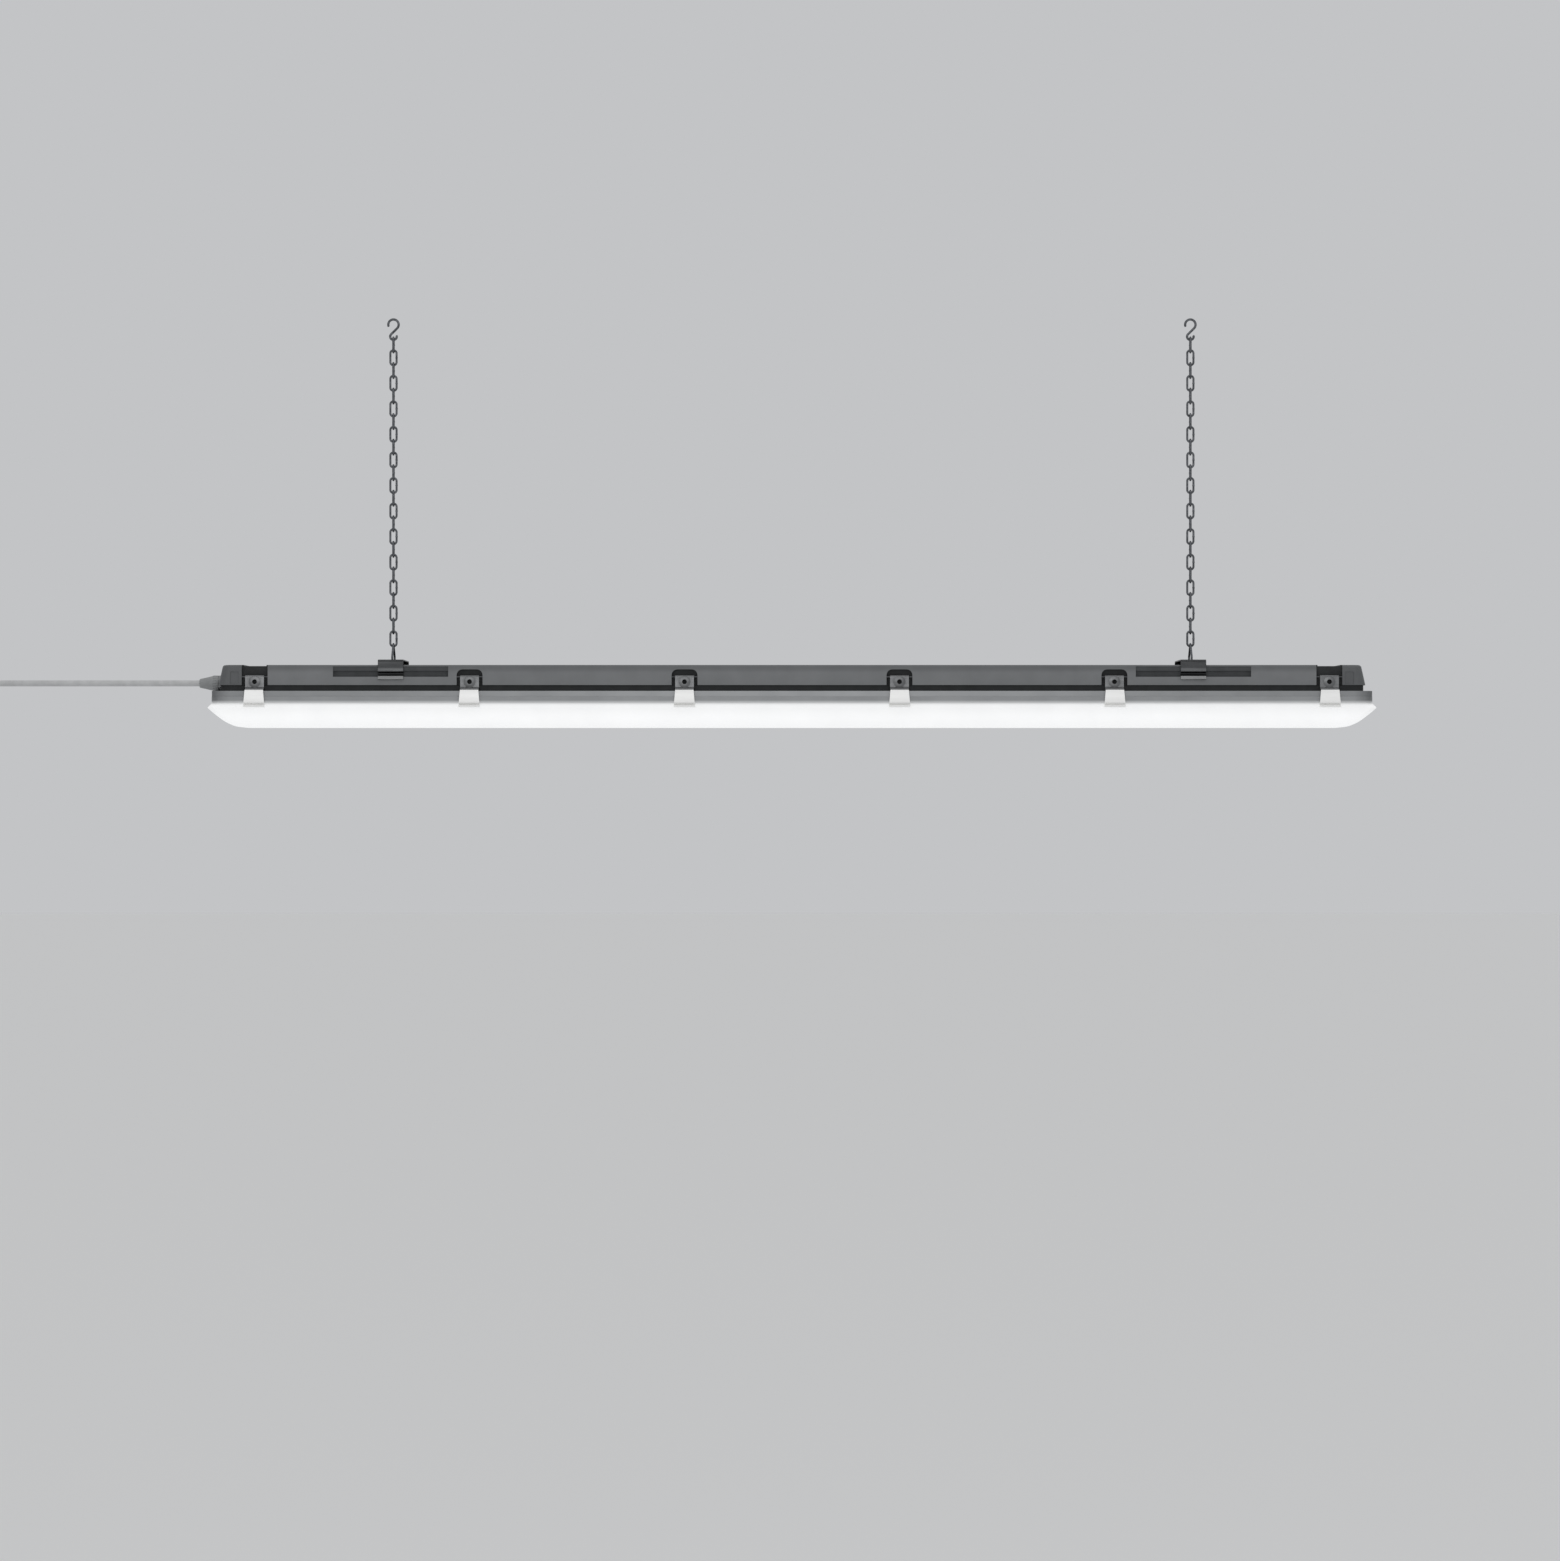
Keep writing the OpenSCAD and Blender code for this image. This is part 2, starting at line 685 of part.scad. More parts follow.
// Circuit board with its transformer, two capacitors and a row of small parts
module driver_board() {
    floor_z = tray_z + driver_wall;
    inner = driver_w / 2 - driver_wall - seat;
    top = floor_z + 1.6;
    color("seagreen") {
        block(driver_len - 2 * driver_wall - 2 * seat, -inner, inner, floor_z, top);
        block(30, -11, 11, top, top + 13);
        for (x = [-55, 60]) translate([x, 0, top - 0.2]) cylinder(h = 12, r = 6);
        for (x = [-80 : 12 : -32]) translate([x, inner - 6, 0]) block(5, -2, 2, top - 0.2, top + 4);
    }
}

module driver_screws() {
    foot_x = (driver_len + driver_foot) / 2;
    color("silver") for (s = [-1, 1]) translate([s * foot_x, 0, 0]) {
        translate([0, 0, tray_z + driver_wall]) cylinder(h = 1.6, r = 2.8);
        translate([0, 0, tray_z - tray_t]) cylinder(h = tray_t + driver_wall + 0.5, r = screw_r / 2 + 0.5);
    }
}

module terminal_block() {
    color("ivory") difference() {
        translate([terminal_x, 0, 0])
            block(terminal[0], -terminal[1] / 2, terminal[1] / 2, tray_z, tray_z + terminal[2]);
        for (i = [-1, 1], j = [-1 : 1])
            translate([terminal_x + i * 7, j * lead_pitch, tray_z + terminal[2] - 3])
                cylinder(h = 4, r = 1.8);
    }
}

// Three leads fan out from the end of the cord and run level to the terminal block
module supply_leads() {
    start = -cavity_x + tail_in;
    enter = terminal_x - terminal[0] / 2;
    color("saddlebrown") for (j = [-1 : 1])
        tube([
            [start, j * lead_spread[0], gland_z],
            [start + lead_stops[0], j * lead_spread[0], gland_z],
            [start + lead_stops[1], j * lead_spread[1], (gland_z + lead_z) / 2],
            [start + lead_stops[2], j * lead_pitch, lead_z],
            [enter, j * lead_pitch, lead_z]
        ], lead_r, 8, [0, 1, 0]);
}

module driver_leads() {
    color("navy") for (j = [-1 : 1])
        translate([0, j * lead_pitch, lead_z]) cyl_x(terminal_x + terminal[0] / 2, -driver_len / 2, lead_r);
}

module board_leads() {
    high = lead_z + 4;
    path = rounded([[driver_len / 2, high], [drop_x, high], [drop_x, tray_z - tray_t]], 4 * drop_r, 6);
    color("red") for (j = [-1, 1])
        translate([0, j * drop_y, 0]) tube(in_xz(path), drop_r, 8, [0, 1, 0]);
}

// ---- gland, cord and plug ----

module gland_axis() { translate([0, 0, gland_z]) children(); }

module hex_x(x0, x1, r) {
    translate([x0, 0, 0]) rotate([0, 90, 0]) cylinder(h = x1 - x0, r = r, $fn = 6);
}

module gland_body() {
    color("gray") gland_axis() difference() {
        union() {
            hex_x(cap_face, gland_face, gland_r);
            cyl_x(cap_face - stub_out, -cavity_x + locknut_t + 3, gland_stub_r);
        }
        cyl_x(cap_face - stub_out - 1, -cavity_x + locknut_t + 4, cord_bore);
    }
}

module gland_locknut() {
    color("gray") gland_axis() difference() {
        hex_x(-cavity_x, -cavity_x + locknut_t, gland_stub_r + 2.5);
        cyl_x(-cavity_x - 1, -cavity_x + locknut_t + 1, gland_stub_r + snug);
    }
}

module gland_seal() {
    start = cap_face - stub_out - seal_len;
    color("black") gland_axis() difference() {
        cyl_x(start, start + seal_len, gland_stub_r - 1);
        cyl_x(start - 1, start + seal_len + 1, cord_bore);
    }
}

// Tapered cap: it squeezes the seal round the cord and eases the cord out of the light
module gland_cap() {
    inner = gland_stub_r + snug;
    deep = stub_out + seal_len + snug;
    color("gray") gland_axis()
        translate([cap_face, 0, 0]) rotate([0, -90, 0]) rotate_extrude() polygon([
            [inner, 0], [gland_r, 0], [gland_r, 6], [gland_r - 0.8, 7.5], [mouth_r, gland_len],
            [cord_bore, gland_len], [cord_bore, deep], [inner, deep]
        ]);
}

module cord_tail() {
    color("lightgray") gland_axis() cyl_x(mouth_x, -cavity_x + tail_in, cord_r);
}

module cord() {
    route = [for (x = cord_stops) [x, cord_line[1], cord_line[0]]];
    color("lightgray") tube(route, cord_r, cord_sides, [0, 1, 0]);
}

module plug_axis() { translate([plug_x, cord_line[1], cord_line[0]]) rotate([0, -90, 0]) children(); }

module plug_relief() {
    color("lightgray") plug_axis() cylinder(h = plug_relief_len, r1 = cord_r + 0.6, r2 = cord_r + 2.6);
}

module plug_body() {
    base = plug_relief_len;
    neck = 10;
    color("lightgray") plug_axis() {
        translate([0, 0, base])
            cylinder(h = neck + 1, r1 = plug_size[1] / 2 - 4, r2 = plug_size[1] / 2 - 0.5);
        translate([0, 0, base + neck])
            linear_extrude(plug_len - neck) plan(plug_size[0] / 2, plug_size[1] / 2, 6);
    }
}

module plug_blades() {
    base = plug_relief_len + plug_len;
    color("gold") plug_axis() {
        for (s = [-1, 1])
            translate([3 - blade[2] / 2, s * blade_gap / 2 - blade[1] / 2, base])
                cube([blade[2], blade[1], blade[0]]);
        translate([3 - ground_drop, 0, base]) {
            cylinder(h = ground_len - ground_d / 2, r = ground_d / 2);
            translate([0, 0, ground_len - ground_d / 2]) sphere(ground_d / 2);
        }
    }
}

top_hook(-1);  // top_hook_left
top_hook(1);  // top_hook_right
top_link(-1);  // top_link_left
top_link(1);  // top_link_right
chain(-1);  // chain_left
chain(1);  // chain_right
end_link(-1);  // end_link_left
end_link(1);  // end_link_right
stirrup(-1);  // stirrup_left
stirrup(1);  // stirrup_right
bracket(-1);  // bracket_left
bracket(1);  // bracket_right
housing();
gasket();
diffuser();
latch_pins();
latch_front(1);  // latch_front_1
latch_front(2);  // latch_front_2
latch_front(3);  // latch_front_3
latch_front(4);  // latch_front_4
latch_front(5);  // latch_front_5
latch_front(6);  // latch_front_6
latch_rear(1);  // latch_rear_1
latch_rear(2);  // latch_rear_2
latch_rear(3);  // latch_rear_3
latch_rear(4);  // latch_rear_4
latch_rear(5);  // latch_rear_5
latch_rear(6);  // latch_rear_6
gear_tray();
tray_screws();
tray_grommet();
led_board(-1);  // led_board_left
led_board(1);  // led_board_right
led_chips();
board_link();
driver_base();
driver_board();
driver_cover();
driver_screws();
terminal_block();
supply_leads();
driver_leads();
board_leads();
gland_body();
gland_locknut();
gland_seal();
gland_cap();
cord_tail();
cord();
plug_relief();
plug_body();
plug_blades();
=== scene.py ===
import json
import math
import bmesh
import bpy
from mathutils import Matrix, Vector


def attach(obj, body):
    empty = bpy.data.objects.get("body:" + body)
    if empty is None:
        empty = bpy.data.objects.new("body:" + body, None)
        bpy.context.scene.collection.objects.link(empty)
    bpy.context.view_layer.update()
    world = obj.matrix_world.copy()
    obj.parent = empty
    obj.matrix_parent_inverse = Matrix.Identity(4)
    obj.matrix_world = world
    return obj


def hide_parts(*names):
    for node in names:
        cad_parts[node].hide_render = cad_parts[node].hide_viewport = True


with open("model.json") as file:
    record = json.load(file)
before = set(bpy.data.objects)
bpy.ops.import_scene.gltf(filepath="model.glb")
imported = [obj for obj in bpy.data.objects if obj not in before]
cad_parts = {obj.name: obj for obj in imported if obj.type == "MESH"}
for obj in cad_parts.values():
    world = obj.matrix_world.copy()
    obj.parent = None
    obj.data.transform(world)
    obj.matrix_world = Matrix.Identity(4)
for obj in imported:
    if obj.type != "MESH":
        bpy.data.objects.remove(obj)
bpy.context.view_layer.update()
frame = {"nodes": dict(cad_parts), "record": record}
nodes = frame["nodes"]
mm = 0.001
mergeDistance = 0.01 * mm  # points closer than this become one
touch = 0.01  # millimetres: how far a point may lie from where it is looked for
bothWays = (-1, 1)
leftAndRight = {"left": -1, "right": 1}


# camera: nearly level with the light and far off, so that its two long sides are almost in line; in metres,
# viewWidth being what the picture takes in at the light
cameraPlace = {"x": -0.0125, "z": -0.4824, "distance": 4.7, "viewWidth": 1.6366, "pictureShape": 1561 / 1560}


def addCamera(place):
    data = bpy.data.cameras.new("photoCamera")
    data.lens = data.sensor_width * place["distance"] / (place["viewWidth"] * place["pictureShape"])
    camera = bpy.data.objects.new("photoCamera", data)
    camera.location = (place["x"], -place["distance"], place["z"])
    camera.rotation_euler = (math.radians(90), 0, 0)
    bpy.context.scene.collection.objects.link(camera)
    bpy.context.scene.camera = camera


addCamera(cameraPlace)
print("camera placed")


# small helpers: selecting, settling a piece into its mesh, and what edit mode needs
def activate(piece):
    bpy.ops.object.select_all(action="DESELECT")
    piece.select_set(True)
    bpy.context.view_layer.objects.active = piece


def settle(piece):  # the object's place, turn and scale go into its mesh
    activate(piece)
    bpy.ops.object.transform_apply(location=True, rotation=True, scale=True)


def startEdit(piece):
    activate(piece)
    bpy.ops.object.mode_set(mode="EDIT")


def endEdit():
    bpy.ops.object.mode_set(mode="OBJECT")


def chooseAll():
    bpy.ops.mesh.select_all(action="SELECT")


def choose(piece, kind, test):  # selects the vertices, edges or faces whose middle passes the test
    bpy.ops.mesh.select_mode(type=kind)
    bpy.ops.mesh.select_all(action="DESELECT")
    mesh = bmesh.from_edit_mesh(piece.data)
    parts = {"VERT": mesh.verts, "EDGE": mesh.edges, "FACE": mesh.faces}[kind]
    for part in parts:
        middle = part.co if kind == "VERT" else sum((v.co for v in part.verts), Vector()) / len(part.verts)
        if test(middle / mm, part):
            part.select_set(True)
    mesh.select_flush_mode()
    bmesh.update_edit_mesh(piece.data)


def place(x, y, z):  # millimetres to metres
    return Vector((x, y, z)) * mm


def extrudeBy(x, y, z):  # what is selected is drawn out, in millimetres
    bpy.ops.mesh.extrude_region_move(TRANSFORM_OT_translate={"value": (x * mm, y * mm, z * mm)})


def applyModifiers(piece):
    activate(piece)
    for modifier in list(piece.modifiers):
        bpy.ops.object.modifier_apply(modifier=modifier.name)


def closeUp(piece, smoothAngle=35):  # doubles merged, faces outwards, smooth where it isn't an edge
    startEdit(piece)
    bpy.ops.mesh.select_mode(type="VERT")
    chooseAll()
    bpy.ops.mesh.remove_doubles(threshold=mergeDistance)
    bpy.ops.mesh.normals_make_consistent(inside=False)
    endEdit()
    activate(piece)
    bpy.ops.object.shade_smooth_by_angle(angle=math.radians(smoothAngle))


def softenEdges(piece, width, angle=40, segments=2):
    bevel = piece.modifiers.new("softEdges", "BEVEL")
    bevel.width = width * mm
    bevel.segments = segments
    bevel.limit_method = "ANGLE"
    bevel.angle_limit = math.radians(angle)
    applyModifiers(piece)


def joinPieces(parts):
    activate(parts[0])
    for part in parts:
        part.select_set(True)
    if len(parts) > 1:
        bpy.ops.object.join()
    return parts[0]


def cutWith(piece, cutters, operation="DIFFERENCE"):
    tool = joinPieces(cutters)
    boolean = piece.modifiers.new("cut", "BOOLEAN")
    boolean.operation = operation
    boolean.solver = "EXACT"
    boolean.object = tool
    applyModifiers(piece)
    bpy.data.objects.remove(tool, do_unlink=True)


def boxBetween(low, high, roundTop=0):  # a cutting block, its two upper edges along Y round if asked
    middle = [(a + b) / 2 for a, b in zip(low, high)]
    bpy.ops.mesh.primitive_cube_add(size=1, location=place(*middle))
    block = bpy.context.object
    block.scale = [(b - a) * mm for a, b in zip(low, high)]
    settle(block)
    if roundTop:
        startEdit(block)
        choose(block, "EDGE", lambda p, edge: abs(p.z - high[2]) < touch and abs(p.x - middle[0]) > 1)
        bpy.ops.mesh.bevel(offset=roundTop * mm, segments=5, affect="EDGES")
        endEdit()
    return block


def rodAlong(axis, middle, radius, length, corners=32):  # a round cutting tool or rod
    turns = {"x": (0, math.radians(90), 0), "y": (math.radians(90), 0, 0), "z": (0, 0, 0)}
    bpy.ops.mesh.primitive_cylinder_add(
        vertices=corners, radius=radius * mm, depth=length * mm, location=place(*middle),
        rotation=turns[axis])
    rod = bpy.context.object
    settle(rod)
    return rod


def copyPiece(piece, move=(0, 0, 0), mirrorY=False):
    twin = piece.copy()
    twin.data = piece.data.copy()
    bpy.context.scene.collection.objects.link(twin)
    twin.location = place(*move)
    if mirrorY:
        twin.scale = (1, -1, 1)
    settle(twin)
    return twin


def handOver(piece, name, body, slotName, material, *replaced):
    piece.name = name
    piece.data.name = name
    piece.data.materials.clear()
    piece.data.materials.append(material)
    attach(piece, body)
    if replaced:
        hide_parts(*replaced)


# material helpers: sRGB hex to linear, and a node with its settings and links
def linear(hexColour):
    channels = [int(hexColour[i:i + 2], 16) / 255 for i in (1, 3, 5)]
    return [c / 12.92 if c <= 0.04045 else ((c + 0.055) / 1.055) ** 2.4 for c in channels] + [1]


def addNode(tree, kind, inputs=None, **settings):
    node = tree.nodes.new(kind)
    for name, value in settings.items():
        setattr(node, name, value)
    for socket, value in (inputs or {}).items():
        if isinstance(value, bpy.types.NodeSocket):
            tree.links.new(value, node.inputs[socket])
        else:
            node.inputs[socket].default_value = value
    return node


def newMaterial(name):
    material = bpy.data.materials.new(name)
    material.use_nodes = True
    tree = material.node_tree
    shader = tree.nodes["Principled BSDF"]
    where = addNode(tree, "ShaderNodeTexCoord").outputs["Object"]
    return material, tree, shader, where


def dress(tree, shader, colour, relief, constants):  # the shader's colour and relief, and its own constants
    tree.links.new(colour, shader.inputs["Base Color"])
    if relief:
        tree.links.new(relief, shader.inputs["Normal"])
    for socket, value in constants.items():
        shader.inputs[socket].default_value = value


def mixColour(tree, factor, low, high):
    return addNode(tree, "ShaderNodeMix", {0: factor, 6: low, 7: high}, data_type="RGBA").outputs[2]


def mottle(tree, where, size, low, high, stretch=(1, 1, 1), detail=4):
    # cloudy change between two colours, one cloud being size millimetres across
    scaled = addNode(tree, "ShaderNodeMapping", {"Vector": where, "Scale": stretch})
    noise = addNode(tree, "ShaderNodeTexNoise", {
        "Vector": scaled.outputs[0], "Scale": 1000 / size, "Detail": detail, "Roughness": 0.55})
    ramp = addNode(tree, "ShaderNodeMapRange", {
        "Value": noise.outputs[0], "From Min": 0.35, "From Max": 0.65, "To Min": 0, "To Max": 1})
    return mixColour(tree, ramp.outputs[0], linear(low), linear(high))


def grain(tree, where, size, height, stretch=(1, 1, 1), detail=2):
    # fine relief: grains of size millimetres, height millimetres deep
    scaled = addNode(tree, "ShaderNodeMapping", {"Vector": where, "Scale": stretch})
    noise = addNode(tree, "ShaderNodeTexNoise", {
        "Vector": scaled.outputs[0], "Scale": 1000 / size, "Detail": detail})
    return addNode(tree, "ShaderNodeBump", {
        "Height": noise.outputs[0], "Distance": height * mm, "Strength": 1}).outputs[0]


def byHeight(tree, where, start, end, low=0, high=1):
    # a smooth step from low at the height start to high at the height end, both in millimetres
    split = addNode(tree, "ShaderNodeSeparateXYZ", {0: where})
    return addNode(tree, "ShaderNodeMapRange", {
        "Value": split.outputs[2], "From Min": start * mm, "From Max": end * mm,
        "To Min": low, "To Max": high}, interpolation_type="SMOOTHSTEP").outputs[0]


def towardsEnds(tree, where, start, end, high=1):
    # an even climb from nothing to high as the distance from the light's middle grows from start to end
    split = addNode(tree, "ShaderNodeSeparateXYZ", {0: where})
    outward = addNode(tree, "ShaderNodeMath", {0: split.outputs[0]}, operation="ABSOLUTE")
    return addNode(tree, "ShaderNodeMapRange", {
        "Value": outward.outputs[0], "From Min": start * mm, "From Max": end * mm, "To Min": 0,
        "To Max": high}).outputs[0]


# the cord, which runs straight out of the gland to its plug; millimetres from here on
cordPlan = {"exit": -621, "end": -840, "height": -380.5, "radius": 3.2, "stops": 16}


def pvcMaterial(name, low, high):
    # flexible PVC, extruded or moulded: a soft dull shine that hardly changes along the run
    material, tree, shader, where = newMaterial(name)
    dress(tree, shader, mottle(tree, where, 9, low, high), grain(tree, where, 0.9, 0.03),
          {"Roughness": 0.48, "IOR": 1.52})
    return material


def brassMaterial():
    # rolled brass: warm, lightly scratched along the blade
    material, tree, shader, where = newMaterial("rolledBrassBlades")
    dress(tree, shader, mottle(tree, where, 3, "#B59248", "#CBAA62", stretch=(0.2, 1, 1)), None,
          {"Metallic": 1, "Roughness": 0.3})
    return material


cordPvc = pvcMaterial("extrudedPvcCordSheath", "#AEAFB0", "#BABBBC")
plugPvc = pvcMaterial("mouldedPvcPlug", "#A0A1A2", "#ACADAE")
brass = brassMaterial()


def pointAt(path, distance):  # the point that lies so far along a run of points
    for before, after in zip(path, path[1:]):
        step = (after - before).length
        if distance <= step:
            return before.lerp(after, distance / step)
        distance -= step
    return path[-1]


def domedStops(path, radius):
    # closer points with smaller radii make each end a dome, in place of the path's own points there
    dome = [(0, 0.3), (0.15, 0.65), (0.45, 0.9), (1, 1)]  # how far along and how thick, both in radii
    start = [(pointAt(path, radius * along), size) for along, size in dome]
    end = [(pointAt(path[::-1], radius * along), size) for along, size in reversed(dome)]
    clear = 1.3 * radius
    inside = [(p, 1.0) for p in path if min((p - path[0]).length, (p - path[-1]).length) > clear]
    return start + inside + end


def pointsCurve(name, points, radius, roundEnds=False):  # a round wire through points
    curve = bpy.data.curves.new(name, "CURVE")
    curve.dimensions = "3D"
    curve.bevel_depth = radius * mm
    curve.bevel_resolution = 5
    curve.use_fill_caps = True
    spline = curve.splines.new("POLY")
    path = [Vector(p) for p in points]
    stops = domedStops(path, radius) if roundEnds else [(p, 1.0) for p in path]
    spline.points.add(len(stops) - 1)
    for point, (p, size) in zip(spline.points, stops):
        point.co = (*(p * mm), 1)
        point.radius = size
    wire = bpy.data.objects.new(name, curve)
    bpy.context.scene.collection.objects.link(wire)
    return wire


def makeCord(plan):
    step = (plan["end"] - plan["exit"]) / (plan["stops"] - 1)
    points = [(plan["exit"] + step * i, 0, plan["height"]) for i in range(plan["stops"])]
    cord = pointsCurve("cordSheath", points, plan["radius"])
    cord.data.materials.append(cordPvc)
    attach(cord, "lamp")
    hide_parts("cord")
    return cord


def turnedAlongX(name, profile, height, corners=48):
    # a turned piece on the X axis: profile is (x, radius) pairs from its right end to its left
    firstX, firstRadius = profile[0]
    bpy.ops.mesh.primitive_circle_add(
        vertices=corners, radius=firstRadius * mm, fill_type="NGON",
        location=place(firstX, 0, height), rotation=(0, math.radians(90), 0))
    piece = bpy.context.object
    settle(piece)
    startEdit(piece)
    chooseAll()
    for (x0, r0), (x1, r1) in zip(profile, profile[1:]):
        extrudeBy(x1 - x0, 0, 0)
        bpy.ops.transform.resize(value=(1, r1 / r0, r1 / r0), center_override=place(x1, 0, height))
    endEdit()
    piece.name = name
    return piece


reliefPlan = {  # collar: where along its share of the length each collar starts, ends and drops to the gap
    "length": 22, "rings": 5, "mouth": 0.1, "over": 0.6, "grow": 2, "collar": (0.25, 0.7, 0.75),
    "deep": 0.9, "edge": 0.2,
}


def makeRelief(plan):  # narrow collars with gaps between them, growing towards the plug
    end, radius = cordPlan["end"], cordPlan["radius"]
    profile = [(end, radius + plan["mouth"]), (end, radius + plan["over"])]
    pitch = plan["length"] / plan["rings"]
    up, down, gap = plan["collar"]
    for ring in range(plan["rings"]):
        thick = radius + plan["over"] + plan["grow"] * (ring + 1) / plan["rings"]
        thin = thick - plan["deep"]
        x = end - ring * pitch
        profile += [(x - up * pitch, thick), (x - down * pitch, thick)]
        profile += [(x - gap * pitch, thin), (x - pitch, thin)]
    relief = turnedAlongX("plugReliefCollars", profile, cordPlan["height"])
    closeUp(relief, 30)
    softenEdges(relief, plan["edge"])
    handOver(relief, "plugReliefCollars", "lamp", "cord_pvc", plugPvc, "plug_relief")
    return relief


gripPlan = {  # waist: distance from the relief and radius; grip: distance, taller by, broader by
    "front": -862, "back": -898, "corners": 64,
    "waist": [(0, 7), (4, 7.6), (11, 10.5), (15, 11)],
    "grip": [(19, 1.12, 1.0), (34.5, 1.05, 1.0), (35.6, 0.985, 0.98), (36, 0.95, 0.93)],
    "hollow": (10, 24), "hollowBeyond": 8, "hollowMiddle": 17, "hollowPress": 0.86,
    "rings": 24, "smoothBack": 1.6, "smoothFront": 0.5, "smoothTimes": 8,
}


def makeGrip(plan):  # a waist that widens into a grip with two pressed finger hollows
    front, back, height = plan["front"], plan["back"], cordPlan["height"]
    waist = [(front - along, radius) for along, radius in plan["waist"]]
    body = turnedAlongX("plugGrip", waist, height, plan["corners"])
    along = plan["waist"][-1][0]
    startEdit(body)
    choose(body, "FACE", lambda p, face: p.x < front - along + 0.1)
    for nextAlong, tall, broad in plan["grip"]:
        extrudeBy(along - nextAlong, 0, 0)
        along = nextAlong
        bpy.ops.transform.resize(value=(1, broad, tall), center_override=place(front - along, 0, height))
    near, far = plan["hollow"]
    choose(body, "VERT", lambda p, v: front - far < p.x < front - near and abs(p.y) > plan["hollowBeyond"])
    bpy.ops.transform.resize(
        value=(1, plan["hollowPress"], 1), center_override=place(front - plan["hollowMiddle"], 0, height))
    # close rings, then smoothed, so that neither the waist nor the hollows have an edge
    for ring in range(1, plan["rings"]):
        chooseAll()
        cutX = back + ring * (front - back) / plan["rings"]
        bpy.ops.mesh.bisect(plane_co=place(cutX, 0, 0), plane_no=(1, 0, 0))
    choose(body, "VERT", lambda p, v: back + plan["smoothBack"] < p.x < front - plan["smoothFront"])
    bpy.ops.mesh.vertices_smooth(factor=0.5, repeat=plan["smoothTimes"])
    endEdit()
    closeUp(body, 40)
    handOver(body, "plugGrip", "lamp", "cord_pvc", plugPvc, "plug_body")
    return body


bladePlan = {
    "gap": 12.7, "length": 17.5, "thick": 1.5, "wide": 6.3, "root": 0.3, "chamfer": 0.5, "lift": 3,
    "hole": 1.5, "holeFromTip": 3.4, "groundDrop": 11.9, "groundRadius": 2.4, "groundLength": 20.5,
    "domeDegrees": (0, 25, 50, 70, 84),
}


def makeBlades(plan, back):  # blades with a lead-in chamfer, and the round earth pin with its domed end
    height = cordPlan["height"] + plan["lift"]
    parts = []
    for side in bothWays:
        y = side * plan["gap"] / 2
        blade = boxBetween((back - plan["length"], y - plan["thick"] / 2, height - plan["wide"] / 2),
                           (back + plan["root"], y + plan["thick"] / 2, height + plan["wide"] / 2))
        softenEdges(blade, plan["chamfer"], segments=3)
        holeX = back - plan["length"] + plan["holeFromTip"]
        cutWith(blade, [rodAlong("y", (holeX, y, height), plan["hole"], 6, 20)])
        parts.append(blade)
    radius, tip = plan["groundRadius"], back - plan["groundLength"]
    turns = [math.radians(degrees) for degrees in plan["domeDegrees"]]
    dome = [(tip + radius * (1 - math.sin(turn)), radius * math.cos(turn)) for turn in turns]
    pin = turnedAlongX("earthPin", [(back + plan["root"], radius)] + dome, height - plan["groundDrop"], 24)
    closeUp(pin)
    parts.append(pin)
    blades = joinPieces(parts)
    handOver(blades, "plugBladesAndPin", "lamp", "plug_brass", brass, "plug_blades")
    return blades


cordPiece = makeCord(cordPlan)
plugPieces = [makeRelief(reliefPlan), makeGrip(gripPlan), makeBlades(bladePlan, gripPlan["back"])]
print("cord and plug made")


# materials of the light itself; where their tones change is given as heights or as distances from the middle
rimShade = (584, 602, 0.75)  # where the two rims darken towards each end, and how much: painted shade on their rounded ends
housingTones = {"belowEdge": (-364.6, -371), "endBlock": (570.8, 571.4), "rimFades": (100, 550),
                "rimStarts": (-388.8, -389.2)}
diffuserTones = {"lit": (-398.4, -404.4), "deeper": (-404, -418), "glow": (0.42, 0.5)}
sheetLine = 0.5  # how sharply one tone of the bent sheets gives way to the next


def housingMaterial():
    # injection-moulded polycarbonate, spark-eroded mould: an even dull grey with a fine grain that breaks up
    # the shine; painted shade darkens the end blocks, a painted dark reflection the upper edge, and painted
    # light makes the rim paler
    material, tree, shader, where = newMaterial("mouldedGreyPolycarbonate")
    middle = mottle(tree, where, 34, "#696B6D", "#717375", detail=6)
    # painted dark reflection along the upper edge, fading into the middle tone below it
    edge = mottle(tree, where, 34, "#56585A", "#5D5F61", detail=6)
    # painted shade on the end blocks
    ends = mottle(tree, where, 20, "#4B4D4F", "#535557", detail=6)
    # painted light on the rim, strongest in its middle and fading towards its ends
    rimMiddle = mottle(tree, where, 30, "#999B9D", "#A1A3A5", detail=6)
    rimOuter = mottle(tree, where, 30, "#838587", "#8B8D8F", detail=6)
    side = mixColour(tree, byHeight(tree, where, *housingTones["belowEdge"]), edge, middle)
    body = mixColour(tree, towardsEnds(tree, where, *housingTones["endBlock"]), side, ends)
    rim = mixColour(tree, towardsEnds(tree, where, *housingTones["rimFades"]), rimMiddle, rimOuter)
    shadedRim = mixColour(tree, towardsEnds(tree, where, *rimShade), rim, ends)
    colour = mixColour(tree, byHeight(tree, where, *housingTones["rimStarts"]), body, shadedRim)
    dress(tree, shader, colour, grain(tree, where, 0.8, 0.06, detail=3), {"Roughness": 0.52, "IOR": 1.58})
    return material


